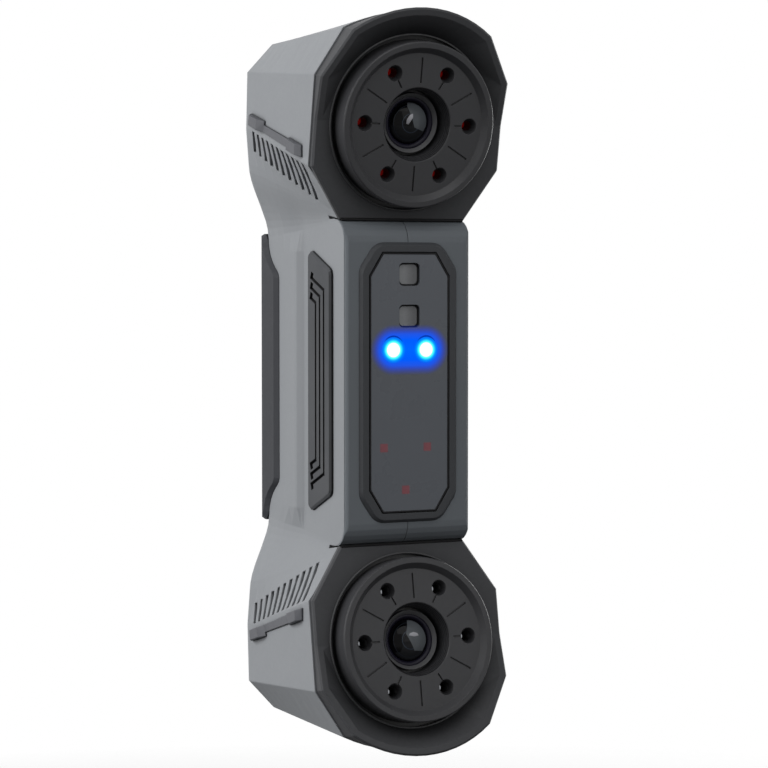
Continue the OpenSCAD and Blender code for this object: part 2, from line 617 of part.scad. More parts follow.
// the left half above the middle of the grip as a solid, moved in by d
module quarter(d) {
    r = max(0.2, edge_r - d);
    last = side_profile(head_back_y - edge_r);
    fronts = [for (p = front_half(d - shell_step)) front_point(p)];
    backs = [for (p = back_half(edge_r - r)) back_point(p, edge_r)];
    skin = concat(
        [for (y = side_stations) let (t = (y - flat_front[0]) / (head_back_y - edge_r - flat_front[0])) concat(
            [for (i = [0 : len(fronts) - 1]) fronts[i] + t * (backs[i] - fronts[i])],
            [for (p = side_profile(y)) [d - p[0], y, p[1]]])],
        [for (a = [0 : 30 : 90]) concat(
            [for (p = back_half(edge_r - r * cos(a))) back_point(p, edge_r - r * sin(a))],
            [for (p = last) [edge_r - r * cos(a) - p[0], back_wall_y(p[1]) - edge_r + r * sin(a), p[1]]])]);
    rows = len(skin[0]);
    columns = len(skin);
    points = concat([for (c = skin) each c], [for (c = skin) for (p = c) [0, p[1], p[2]]]);
    // point numbers of the skin and of the middle plane; they share the crown's top
    function on_skin(c, row) = c * rows + row;
    function on_middle(c, row) = (row == 0 ? 0 : rows * columns) + on_skin(c, row);
    function flip(list) = [for (t = list) [t[0], t[2], t[1]]];
    polyhedron(points, concat(
        [for (c = [0 : columns - 2]) each strip([for (i = [0 : rows - 1]) on_skin(c, i)],
            [for (i = [0 : rows - 1]) on_skin(c + 1, i)])],
        [for (c = [0 : columns - 2]) each flip(strip([for (i = [0 : rows - 1]) on_middle(c, i)],
            [for (i = [0 : rows - 1]) on_middle(c + 1, i)]))],
        flip(strip([for (i = [0 : rows - 1]) on_skin(0, i)], [for (i = [0 : rows - 1]) on_middle(0, i)])),
        strip([for (i = [0 : rows - 1]) on_skin(columns - 1, i)],
            [for (i = [0 : rows - 1]) on_middle(columns - 1, i)]),
        flip(strip([for (c = [0 : columns - 1]) on_skin(c, rows - 1)],
            [for (c = [0 : columns - 1]) on_middle(c, rows - 1)]))));
}
// (y, z) outline of the grip's front, with ends that turn back under the bezels
function front_profile(y) = both_ways(concat(
    [for (i = [0 : 6]) let (a = i * 15) [y + front_end_r * (1 - cos(a)), front_flat_z + front_end_r * sin(a)]],
    [[big, neck_z]]));
// everything behind the grip's rounded front and behind the bezels' seats
module behind_front() {
    slab_x(front_profile(side_y), big / 2);
    for (m = [0, 1]) mirror([0, 0, m]) {
        box(big, 15, big, neck_z - 1, big);
        upper() box(big, shell_front_y, 20, -neck_drop - shell_step, big);
    }
}
// where the shells are hollow: everywhere but in the shelves between heads and grip
module hollow_zone() {
    box(big, 15, big, -big, big);
    box(big, 0, 16, -sill_z, sill_z);
    for (m = [0, 1]) mirror([0, 0, m])
        upper() box(big, shell_front_y - 1, 20, shell_wall - shell_step - neck_drop, big);
}
module shell_body(d) for (m = [0, 1]) mirror([0, 0, m]) quarter(d);

// what the grip cover's S-shaped front corners leave free, from the end of its straight front edge
cover_curve = [[-3, -0.9], [0, -0.9], [0.5, 0.1], [1.3, 0.9], [2.6, 1.8], [4.5, 3.4], [6, 5.3], [7, 7.4], [7.8, 10.6],
    [8.4, 14], [-3, 14]];
// direction of the chamfer that follows the curve, and how far its cut reaches to each side
chamfer_turn = 58;
chamfer_reach = [20, 10];
// the grip cover's outer block, moved in by d
module cover_block(d) {
    end_z = neck_z - 3.2;
    difference() {
        hull() {
            slab_x(inset(both_ways([[cover_y, cover_half_h], [cover_y + 9, end_z], [back_y - 2.4, end_z]]), d),
                cover_half_w - cover_chamfer - d);
            slab_x(inset(both_ways([[cover_y + 1.6, cover_half_h - 0.6], [back_y - 2.8, end_z - 1.6]]), d),
                cover_half_w - d);
            slab_x(inset(both_ways([[cover_y + 4, cover_half_h - 2], [back_y - 1, end_z - 0.5]]), d),
                cover_half_w - 0.7 - d);
            slab_x(inset(both_ways([[cover_y + 4, cover_half_h - 2], [back_y, end_z - 2]]), d),
                cover_half_w - 2.4 - d);
        }
        for (m = [0, 1]) mirror([0, 0, m]) translate([0, cover_y + d, cover_half_h]) {
            slab_x(cover_curve, big);
            // the chamfer that follows the curve on both sides
            for (n = [0, 1]) mirror([n, 0, 0]) translate([cover_chamfer - cover_half_w + d, 0, 0])
                rotate([90, 0, 90 - chamfer_turn]) translate([0, 0, -chamfer_reach[0]])
                    linear_extrude(chamfer_reach[0] + chamfer_reach[1])
                        polygon([for (p = cover_curve) [p[0] * cos(chamfer_turn), p[1]]]);
        }
    }
}
pad_outline = both_ways([[pad_y0, pad_half_h - 1], [pad_y0 + 0.4, pad_half_h], [pad_y0 + 1.2, pad_half_h + 0.6],
    [pad_y1 - 2.6, pad_half_h + pad_rise - 0.1], [pad_y1 - 1.5, pad_half_h + pad_rise],
    [pad_y1 - 0.5, pad_half_h + pad_rise - 0.5], [pad_y1, pad_half_h + pad_rise - 1.5]]);
// outlines of one trim: a slim bar with a raised foot at each end, heights from the lens centre
trim_y1 = head_back_y - 4.6;
front_foot = [[11.4, -8.4], [20.8, -5.65], [19.7, -2.85], [11.4, -5.25]];
front_foot_top = [[13, -7.85], [18.7, -6.25], [17.3, -3.55], [12.8, -4.85]];
function from_back(pts) = [for (p = pts) [trim_y1 + p[0], p[1]]];
back_foot = from_back([[-10.2, -0.6], [-0.7, 2.2], [-1.3, 5], [-11.2, 2.3]]);
back_foot_top = from_back([[-8, 0.1], [-2.6, 1.7], [-3.2, 4.5], [-8.6, 3]]);
trim_bar = concat([[18.7, -3.65], [18.7, -6.15]], from_back([[-9, -0.3], [-10, 1.5]]));
// a (y, z) outline on the left side, between half widths x0 and x1
module left_plate(pts, x0, x1) translate([0, 0, half_base])
    rotate([90, 0, 90]) translate([0, 0, -x1]) linear_extrude(x1 - x0) polygon(pts);
module trim_foot(base, top) hull() {
    left_plate(inset(base, 0.03), shell_half_w - trim_pocket, shell_half_w + trim_proud);
    left_plate(inset(top, 0.1), shell_half_w - trim_pocket, shell_half_w + trim_proud + trim_rise);
}
module left_upper_trim() {
    left_plate(inset(trim_bar, 0.03), shell_half_w - trim_pocket, shell_half_w + trim_proud);
    trim_foot(front_foot, front_foot_top);
    trim_foot(back_foot, back_foot_top);
}
module trim_pocket_block() for (pts = [front_foot, back_foot, trim_bar])
    left_plate(pts, shell_half_w - trim_pocket, shell_half_w + 5);
// the slots of one side of the upper head, from the bezel back; they lean back less and less
module vent_cutters() for (i = [0 : vent_count - 1]) {
    t = i / (vent_count - 1);
    y = vent_y0 + (head_back_y - vent_back - vent_y0) * t;
    lean = vent_lean * (1 - 0.7 * t);
    top_z = half_base + vent_top_front + (vent_top_back - vent_top_front) * t;
    low_z = half_base + vent_low_front + (vent_low_back - vent_low_front) * t;
    top = [min(shell_half_w, facet_x(y - lean / 2, top_z)), top_z];
    low = [facet_x(y + lean / 2, low_z), low_z];
    run = top - low;
    translate([-(top[0] + low[0]) / 2, y, (top_z + low_z) / 2])
        rotate([atan(lean / run[1]), -atan2(run[0], run[1]), 0])
            cube([vent_cut, vent_w, norm([run[0], run[1], lean])], center = true);
}
// a left-hand half; screws enter at the bosses listed in heads and end in those of tails
module half_shell(heads, tails) left_half() difference() {
    union() {
        difference() {
            intersection() {
                shell_body(0);
                behind_front();
            }
            intersection() {
                shell_body(shell_wall);
                hollow_zone();
            }
        }
        for (p = boss_places) translate([-inner_half_w - 0.5, p[0], p[1]]) rotate([0, 90, 0])
            cylinder(r = boss_r, h = inner_half_w + 0.5);
        // ribs that hold the optical frame's beam from both sides
        for (z = rib_places) for (y = [beam_y - 2, beam_y + beam_t])
            translate([-inner_half_w - 0.5, y, z - 1]) cube([inner_half_w - 7.5, 2, 2]);
        rod_y(socket_flange_r + 1.5, head_back_y - 7, head_back_y - 1, 0, socket_z);
    }
    cover_block(0);
    for (p = heads) translate([-side_half_w, p[0], p[1]]) rotate([0, 90, 0]) {
        cylinder(r = screw_head_r, h = side_half_w - screw_head_x + 1.6);
        cylinder(r = screw_r, h = side_half_w);
    }
    for (p = tails) translate([-10, p[0], p[1]]) rotate([0, 90, 0]) cylinder(r = screw_r, h = 11);
    translate([-side_half_w - 1, 0, 0]) rotate([90, 0, 90]) linear_extrude(1 + pad_pocket)
        polygon(inset(pad_outline, -0.1));
    for (m = [0, 1]) mirror([0, 0, m]) {
        trim_pocket_block();
        vent_cutters();
    }
    rod_y(socket_flange_r, socket_seat_y, big, 0, socket_z);
    rod_y(socket_bore_r + 1.6, 0, big, 0, socket_z);
}
module left_shell() half_shell(outer_bosses, inner_bosses);
module right_shell() mirror_x() half_shell(inner_bosses, outer_bosses);

// ---- Front cover ----
module front_cover_left() left_half() difference() {
    union() {
        difference() {
            front_block();
            slab_x(front_profile(side_y), big / 2);
        }
        intersection() {
            front_block();
            box(inner_half_w - 0.1, front_y, front_y + front_t, -sill_z + 0.1, sill_z - 0.1);
        }
    }
    slab_y(frame_outline(frame_w - frame_flange), 0, 20);
    // the fine seam between the left and the right cover
    box(seam_w / 2, 0, big, -big, big);
}
module front_block() intersection() {
    linear_extrude(2 * neck_z - 0.4, center = true) polygon([
        [side_half_w - 1, front_y], [side_half_w, side_y], [side_half_w, 20], [-side_half_w, 20],
        [-side_half_w, side_y], [1 - side_half_w, front_y]]);
    slab_x(front_profile(front_y), big / 2);
}

// ---- Pads and trims ----
module groove(i) {
    y = pad_y0 + (pad_y1 - pad_y0) * (groove_start + i * groove_pitch);
    half = pad_half_h - 5 - 1.7 * i;
    reach = pad_y1 - 1.5 - y;
    box_groove(y, half);
    for (m = [0, 1]) mirror([0, 0, m]) translate([0, y, half]) rotate([22, 0, 0]) {
        translate([-1, -groove_w / 2, -groove_w / 2]) cube([2, reach, groove_w]);
        translate([-1, reach - 1.6, -groove_w / 2]) cube([2, 1.6, 2]);
    }
}
module box_groove(y, half) box(1, y - groove_w / 2, y + groove_w / 2, -half, half);
module left_grip_pad() translate([-side_half_w, 0, 0]) difference() {
    hull() {
        rotate([90, 0, 90]) translate([0, 0, 0.5 - pad_proud]) linear_extrude(pad_pocket + pad_proud - 0.5)
            polygon(pad_outline);
        rotate([90, 0, 90]) translate([0, 0, -pad_proud]) linear_extrude(0.1) polygon(inset(pad_outline, 0.6));
    }
    translate([-pad_proud, 0, 0]) for (i = [0 : groove_count - 1]) groove(i);
}

// ---- Grip cover, buttons and status light ----
module button(r) {
    rod_y(r, button_floor - eps, back_y + button_proud);
    rod_y(r + 1.2, button_floor - 1.2, button_floor);
    rod_y(1.6, board_front + pcb_t + switch_h + 0.05 + button_travel, button_floor - 1.2 + eps);
}
button_places = [[scan_button_r, 0], [small_button_r, button_pitch], [small_button_r, -button_pitch]];
module back_grip_cover() difference() {
    union() {
        difference() {
            cover_block(0);
            cover_block(cover_wall);
            // opens the block's front side onto the shells
            box(cover_half_w - cover_chamfer - cover_wall, cover_y - 1, cover_y + 6, 1 - cover_half_h, cover_half_h - 1);
        }
        for (sx = [-1, 1]) for (z = [-24, 24])
            rod_y(2.2, board_front + pcb_t, button_floor + 0.5, sx * 12.6, z);
    }
    for (b = button_places) rod_y(b[0] + button_gap, board_front, big, 0, b[1]);
    rod_y(light_r + 0.05, board_front, big, 0, light_z);
}
module button_board() box(14, board_front, board_front + pcb_t, -cover_half_h - 1, cover_half_h + 1);
module button_switches() for (b = button_places)
    translate([0, 0, b[1]]) box(2.5, board_front + pcb_t, board_front + pcb_t + switch_h, -2.5, 2.5);
module status_light() {
    rod_y(light_r, board_front + pcb_t, back_y + 0.3, 0, light_z);
    rod_y(light_r + 0.8, button_floor - 0.8, button_floor, 0, light_z);
}

// ---- Boards and cooling ----
module main_board() box(14, board_y, board_y + pcb_t, -46, 46);
module heat_sink() {
    fin_gap = 24 / (fin_count - 1);
    box(13, board_y - 2.5, board_y, -33, 33);
    for (i = [0 : fin_count - 1]) translate([-12 + i * fin_gap, 0, 0])
        box(0.6, board_y - 8, board_y - 2.4, -33, 33);
}

// ---- Cable socket ----
module socket_body() translate([0, 0, socket_z]) axis_y() rotate_extrude() polygon([
    [0, socket_seat_y + 2.6 - socket_bore_l], [socket_bore_r + 1.5, socket_seat_y + 2.6 - socket_bore_l],
    [socket_bore_r + 1.5, socket_seat_y], [socket_flange_r - 0.1, socket_seat_y],
    [socket_flange_r - 0.1, head_back_y - 0.6], [socket_flange_r - 0.7, head_back_y],
    [socket_bore_r, head_back_y], [socket_bore_r, head_back_y - socket_bore_l],
    [0, head_back_y - socket_bore_l]]);
// flat-ended contacts, flush with the socket's floor
module contact_pins(r) translate([0, 0, socket_z]) around(6)
    rod_y(r, head_back_y - socket_bore_l - contact_l, head_back_y - socket_bore_l, 2.4);
module cable_socket() difference() {
    socket_body();
    contact_pins(contact_r);
}
module socket_contacts() contact_pins(contact_r);

// ---- Screws ----
module shell_screw() rotate([0, 90, 0]) {
    cylinder(r = screw_head_r - 0.1, h = 1.6);
    cylinder(r = screw_r, h = screw_head_x + 9);
}
module shell_screws() {
    for (p = outer_bosses) translate([-screw_head_x, p[0], p[1]]) shell_screw();
    for (p = inner_bosses) mirror_x() translate([-screw_head_x, p[0], p[1]]) shell_screw();
}
module frame_screws() for (m = [-1, 1]) for (sx = [-1, 1])
    rod_y(2, board_y + pcb_t, board_y + pcb_t + 1.4, sx * 9, m * board_post_z);

module mirror_x() mirror([1, 0, 0]) children();
module mirror_z() mirror([0, 0, 1]) children();

placed() color(light_shell) left_shell();
placed() color(light_shell) right_shell();
placed() color(slate) front_cover_left();
placed() color(slate) mirror_x() front_cover_left();  // front_cover_right
placed() color(near_black) upper() bezel();  // upper_bezel
placed() color(near_black) lower() bezel();  // lower_bezel
placed() color(soft_grey) back_grip_cover();
placed() color(soft_grey) left_grip_pad();
placed() color(soft_grey) mirror_x() left_grip_pad();  // right_grip_pad
placed() color(soft_grey) left_upper_trim();
placed() color(soft_grey) mirror_z() left_upper_trim();  // left_lower_trim
placed() color(soft_grey) mirror_x() left_upper_trim();  // right_upper_trim
placed() color(soft_grey) mirror_x() mirror_z() left_upper_trim();  // right_lower_trim
placed() color(near_black) window_frame();
placed() color(slate) window_glass();
placed() color("silver") square_lens(square_high_z);  // texture_camera_lens
placed() color("silver") square_lens(square_low_z);  // texture_lamp_lens
placed() color(near_black) upper() lamp_plate();  // upper_lamp_plate
placed() color(near_black) lower() lamp_plate();  // lower_lamp_plate
placed() color("darkred") upper() lamps();  // upper_lamps
placed() color("darkred") lower() lamps();  // lower_lamps
placed() color("darkgreen") upper() lamp_board();  // upper_lamp_board
placed() color("darkgreen") lower() lamp_board();  // lower_lamp_board
placed() color("dimgray") upper() lens_barrel();  // upper_lens_barrel
placed() color("dimgray") lower() lens_barrel();  // lower_lens_barrel
placed() color("lightblue") upper() lens();  // upper_lens
placed() color("lightblue") lower() lens();  // lower_lens
placed() color("gray") upper() camera_housing();  // upper_camera_housing
placed() color("gray") lower() camera_housing();  // lower_camera_housing
placed() color("darkgreen") upper() sensor_board();  // upper_sensor_board
placed() color("darkgreen") lower() sensor_board();  // lower_sensor_board
placed() color("silver") optical_frame();
placed() color("dimgray") optics_bracket();
placed() color("royalblue") translate([-laser_x, 0, laser_z]) laser();  // left_laser
placed() color("royalblue") translate([laser_x, 0, laser_z]) laser();  // right_laser
placed() color("gray") square_module(square_high_z, 9);  // texture_camera
placed() color("gray") square_module(square_low_z, 6);  // texture_lamp
placed() color("darkgreen") infrared_board();
placed() color("indianred") infrared_emitters();
placed() color("darkgreen") main_board();
placed() color("silver") heat_sink();
placed() color(near_black) button(scan_button_r);  // scan_button
placed() color(near_black) translate([0, 0, button_pitch]) button(small_button_r);  // up_button
placed() color(near_black) translate([0, 0, -button_pitch]) button(small_button_r);  // down_button
placed() color("darkgreen") button_board();
placed() color("gray") button_switches();
placed() color("white") status_light();
placed() color("gray") cable_socket();
placed() color("gold") socket_contacts();
placed() color("silver") shell_screws();
placed() color("silver") frame_screws();
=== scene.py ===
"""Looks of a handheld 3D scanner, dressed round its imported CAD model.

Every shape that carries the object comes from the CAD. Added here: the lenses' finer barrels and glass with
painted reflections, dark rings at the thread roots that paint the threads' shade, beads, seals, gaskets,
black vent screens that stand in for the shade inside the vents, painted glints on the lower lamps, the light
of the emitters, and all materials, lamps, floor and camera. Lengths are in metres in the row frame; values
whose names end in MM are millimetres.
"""

import json
import math

import bpy
from mathutils import Matrix, Vector


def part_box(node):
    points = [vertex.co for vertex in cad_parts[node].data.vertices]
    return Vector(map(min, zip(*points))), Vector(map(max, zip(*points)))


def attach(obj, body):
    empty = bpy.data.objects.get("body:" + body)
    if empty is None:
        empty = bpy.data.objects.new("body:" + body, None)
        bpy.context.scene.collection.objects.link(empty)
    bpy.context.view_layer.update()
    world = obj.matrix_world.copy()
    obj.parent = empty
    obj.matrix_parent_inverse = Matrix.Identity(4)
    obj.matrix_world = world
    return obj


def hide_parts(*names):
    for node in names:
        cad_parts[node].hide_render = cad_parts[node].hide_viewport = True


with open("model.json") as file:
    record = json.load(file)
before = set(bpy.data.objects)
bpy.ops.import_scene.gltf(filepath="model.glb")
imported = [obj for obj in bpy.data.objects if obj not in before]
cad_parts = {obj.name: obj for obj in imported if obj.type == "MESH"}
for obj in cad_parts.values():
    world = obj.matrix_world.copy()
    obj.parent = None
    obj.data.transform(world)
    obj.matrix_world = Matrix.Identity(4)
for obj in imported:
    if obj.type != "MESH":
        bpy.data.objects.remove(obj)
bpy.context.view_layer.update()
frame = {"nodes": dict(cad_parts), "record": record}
nodes = frame["nodes"]

# ---- Places, from the frame ----
MM = 0.001
BASELINE = 133.6 * MM           # distance between the two lens centres
TOE_IN = math.radians(9.9)      # turn of each head towards the middle
FRONT_COVER_MM = 5.45           # depth of the front cover behind the lens plane
LENS_PLANE_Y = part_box("front_cover_left")[0][1] - FRONT_COVER_MM * MM


def head_matrix(side):
    """Millimetres in a head's own frame to metres in the row frame. side is 1 for the upper head,
    -1 for the lower."""
    flip = Matrix.Diagonal((1, 1, side, 1))
    place = Matrix.Translation((0, LENS_PLANE_Y, BASELINE / 2)) @ Matrix.Rotation(TOE_IN, 4, "X")
    return flip @ place @ Matrix.Scale(MM, 4)


GRIP_MATRIX = Matrix.Translation((0, LENS_PLANE_Y, 0)) @ Matrix.Scale(MM, 4)
HEADS = {"upper": head_matrix(1), "lower": head_matrix(-1)}


# ---- Shader building ----
# painted shade, put into narrow gaps and creases through an occlusion mask
GAP_SHADE_BLACK = (0.004, 0.004, 0.005, 1)          # the dark of a narrow gap


class Shader:
    """A material's node tree with short calls for the nodes that the finishes share."""

    def __init__(self, name):
        self.material = bpy.data.materials.new(name)
        self.material.use_nodes = True
        self.tree = self.material.node_tree
        self.tree.nodes.clear()
        self.output = self.add("ShaderNodeOutputMaterial")
        self.places = self.add("ShaderNodeTexCoord").outputs["Object"]

    def add(self, kind, inputs=None, **settings):
        node = self.tree.nodes.new(kind)
        for key, value in settings.items():
            setattr(node, key, value)
        for key, value in (inputs or {}).items():
            self.feed(node.inputs[key], value)
        return node

    def feed(self, socket, value):
        """Sets a socket, or links it where value is another node's output."""
        if isinstance(value, bpy.types.NodeSocket):
            self.tree.links.new(value, socket)
        else:
            socket.default_value = value

    def noise(self, scale, detail=3.0, roughness=0.55):
        return self.add("ShaderNodeTexNoise", {"Vector": self.places, "Scale": scale, "Detail": detail,
                                               "Roughness": roughness}).outputs["Fac"]

    def span(self, value, low, high, to_low=0.0, to_high=1.0):
        return self.add("ShaderNodeMapRange", {"Value": value, "From Min": low, "From Max": high,
                                               "To Min": to_low, "To Max": to_high}).outputs["Result"]

    def math(self, operation, a, b=0.0):
        node = self.add("ShaderNodeMath", operation=operation)
        self.feed(node.inputs[0], a)
        self.feed(node.inputs[1], b)
        return node.outputs[0]

    def mix(self, factor, a, b):
        node = self.add("ShaderNodeMix", data_type="RGBA")
        for socket, value in ((node.inputs["Factor"], factor), (node.inputs[6], a), (node.inputs[7], b)):
            self.feed(socket, value)
        return node.outputs[2]

    def inside(self, x, z, outline, soft=0.08):
        """1 inside a convex outline [(x, z), ...], counter-clockwise, 0 outside it."""
        mask = 1.0
        for (ax, az), (bx, bz) in zip(outline, outline[1:] + outline[:1]):
            length = math.hypot(bx - ax, bz - az)
            nx, nz = (az - bz) / length, (bx - ax) / length
            reach = self.math("ADD", self.math("MULTIPLY", x, nx), self.math("MULTIPLY", z, nz))
            edge = nx * ax + nz * az
            mask = self.math("MULTIPLY", self.span(reach, edge - soft, edge + soft), mask)
        return mask

    def rounded(self, radius):
        """The surface normal with its edges rounded to a radius."""
        return self.add("ShaderNodeBevel", {"Radius": radius}, samples=6).outputs["Normal"]

    def edges(self, radius):
        """1 along edges, 0 on open faces."""
        normal = self.add("ShaderNodeNewGeometry").outputs["Normal"]
        dot = self.add("ShaderNodeVectorMath", operation="DOT_PRODUCT")
        self.feed(dot.inputs[0], self.rounded(radius))
        self.feed(dot.inputs[1], normal)
        return self.span(self.math("SUBTRACT", 1.0, dot.outputs["Value"]), 0.02, 0.3)

    def creases(self, reach):
        """1 deep in gaps, grooves and inner corners, 0 on open faces."""
        open_sky = self.add("ShaderNodeAmbientOcclusion", {"Distance": reach}, samples=8).outputs["AO"]
        return self.span(open_sky, 0.3, 0.92, 1.0, 0.0)

    def bump(self, height, distance, normal=None):
        node = self.add("ShaderNodeBump", {"Height": height, "Distance": distance, "Strength": 1.0})
        if normal is not None:
            self.feed(node.inputs["Normal"], normal)
        return node.outputs["Normal"]

    def principled(self, **inputs):
        named = {key.replace("_", " "): value for key, value in inputs.items()}
        return self.add("ShaderNodeBsdfPrincipled", named)

    def finish(self, shader):
        self.feed(self.output.inputs["Surface"], shader)
        return self.material


def shade(color, factor):
    return tuple(min(1.0, c * factor) for c in color[:3]) + (1.0,)


def srgb(r, g, b):
    """An 8-bit screen colour as linear light."""
    def linear(v):
        v /= 255
        return v / 12.92 if v <= 0.04045 else ((v + 0.055) / 1.055) ** 2.4
    return (linear(r), linear(g), linear(b), 1.0)


def moulded(name, color, roughness, grain=2600.0, grain_height=0.008, wear_and_highlight=0.3, specular=0.2, mottle=0.05,
            edge_radius=0.35, crease=1.6, crease_shade=0.75):
    """Moulded plastic: soft colour drift, spark-eroded grain, uneven gloss, edges painted lighter as wear
    and as a painted highlight, and painted shade that darkens the creases."""
    s = Shader(name)
    broad = s.noise(55.0, 4.0)
    fine = s.noise(900.0, 3.0, 0.6)
    base = s.mix(broad, shade(color, 1 - mottle), shade(color, 1 + mottle))
    base = s.mix(s.span(fine, 0.35, 0.7, 0.0, 0.5), base, shade(color, 1 - 1.6 * mottle))
    edges = s.edges(edge_radius * MM)
    # edges painted lighter: partly wear, partly a painted highlight along them
    rub = s.math("MULTIPLY", edges, s.span(s.noise(350.0, 5.0, 0.7), 0.35, 0.65, 0.5, 1.0))
    base = s.mix(s.math("MULTIPLY", rub, wear_and_highlight), base, shade(color, 1.9))
    # painted shade: darker deep in creases, gaps and recesses
    base = s.mix(s.math("MULTIPLY", s.creases(crease * MM), crease_shade), base, shade(color, 0.12))
    smear = s.noise(120.0, 5.0, 0.65)
    rough = s.span(s.math("ADD", s.math("MULTIPLY", smear, 0.6), s.math("MULTIPLY", fine, 0.4)),
                   0.35, 0.65, roughness - 0.04, roughness + 0.05)
    pits = s.noise(grain, 2.0, 0.7)
    normal = s.bump(pits, grain_height * MM, s.rounded(edge_radius * MM))
    return s.finish(s.principled(Base_Color=base, Roughness=rough, Specular_IOR_Level=specular,
                                 Normal=normal).outputs[0])


def rubbery(name, color, shaded_front=0.0):
    """Soft-touch rubber: matt, velvety at grazing angles, with dust in its pores and painted shade in its
    creases.

    shaded_front paints shade on the walls that look forward.
    """
    s = Shader(name)
    broad = s.noise(80.0, 4.0)
    dust = s.span(s.noise(1400.0, 4.0, 0.75), 0.55, 0.8, 0.0, 0.35)
    base = s.mix(broad, shade(color, 0.93), shade(color, 1.07))
    base = s.mix(dust, base, shade(color, 1.35))
    rub = s.math("MULTIPLY", s.edges(0.4 * MM), s.span(s.noise(260.0, 5.0, 0.7), 0.4, 0.65, 0.0, 0.4))
    base = s.mix(rub, base, shade(color, 1.8))
    # painted shade: darker deep in creases and grooves
    base = s.mix(s.math("MULTIPLY", s.creases(3.0 * MM), 0.92), base, shade(color, 0.06))
    # painted shade on the walls that look forward
    normal = s.add("ShaderNodeNewGeometry").outputs["Normal"]
    facing = s.add("ShaderNodeSeparateXYZ", {"Vector": normal}).outputs["Y"]
    base = s.mix(s.span(facing, -0.35, -0.8, 0.0, shaded_front), base, shade(color, 0.08))
    normal = s.bump(s.noise(3200.0, 2.0, 0.8), 0.014 * MM, s.rounded(0.3 * MM))
    return s.finish(s.principled(Base_Color=base, Roughness=s.span(broad, 0.35, 0.65, 0.62, 0.78),
                                 Specular_IOR_Level=0.15, Sheen_Weight=0.03, Sheen_Roughness=0.5,
                                 Normal=normal).outputs[0])


def metal(name, color, roughness):
    """Turned or cast metal with fine tool marks and stains."""
    s = Shader(name)
    marks = s.noise(700.0, 4.0, 0.7)
    stain = s.noise(90.0, 5.0, 0.6)
    base = s.mix(stain, shade(color, 0.86), shade(color, 1.08))
    base = s.mix(s.math("MULTIPLY", s.edges(0.25 * MM), 0.5), base, shade(color, 1.5))
    rough = s.span(s.math("ADD", s.math("MULTIPLY", marks, 0.5), s.math("MULTIPLY", stain, 0.5)),
                   0.35, 0.65, roughness - 0.06, roughness + 0.08)
    normal = s.bump(marks, 0.006 * MM, s.rounded(0.2 * MM))
    return s.finish(s.principled(Base_Color=base, Metallic=1.0, Roughness=rough, Normal=normal).outputs[0])


def board(name):
    """Circuit board: solder mask over copper tracks."""
    s = Shader(name)
    weave = s.noise(1500.0, 2.0)
    brick = s.add("ShaderNodeTexBrick", {"Vector": s.places, "Scale": 420.0, "Mortar Size": 0.06,
                                         "Color1": srgb(14, 70, 42), "Color2": srgb(18, 82, 48),
                                         "Mortar": srgb(32, 108, 62)})
    base = s.mix(s.span(weave, 0.4, 0.6, 0.0, 0.25), brick.outputs["Color"], srgb(10, 52, 32))
    normal = s.bump(brick.outputs["Fac"], 0.02 * MM)
    return s.finish(s.principled(Base_Color=base, Roughness=s.span(weave, 0.3, 0.7, 0.3, 0.42),
                                 Normal=normal).outputs[0])


def smoked_window(name):
    """Smoked infrared-passing window: hard, satin, with faint smears."""
    s = Shader(name)
    smear = s.noise(90.0, 4.0, 0.6)
    base = s.mix(smear, srgb(96, 100, 106), srgb(100, 104, 110))
    dust = s.span(s.noise(2000.0, 4.0, 0.8), 0.62, 0.8, 0.0, 0.12)
    rough = s.span(smear, 0.35, 0.7, 0.26, 0.34)
    base = s.mix(dust, base, srgb(130, 132, 136))
    # painted shade in the narrow gaps at its edges
    base = s.mix(s.math("MULTIPLY", s.creases(0.8 * MM), 0.95), base, GAP_SHADE_BLACK)
    return s.finish(s.principled(Base_Color=base, Roughness=rough, Specular_IOR_Level=0.2,
                                 Normal=s.bump(s.noise(2400.0, 2.0), 0.001 * MM)).outputs[0])


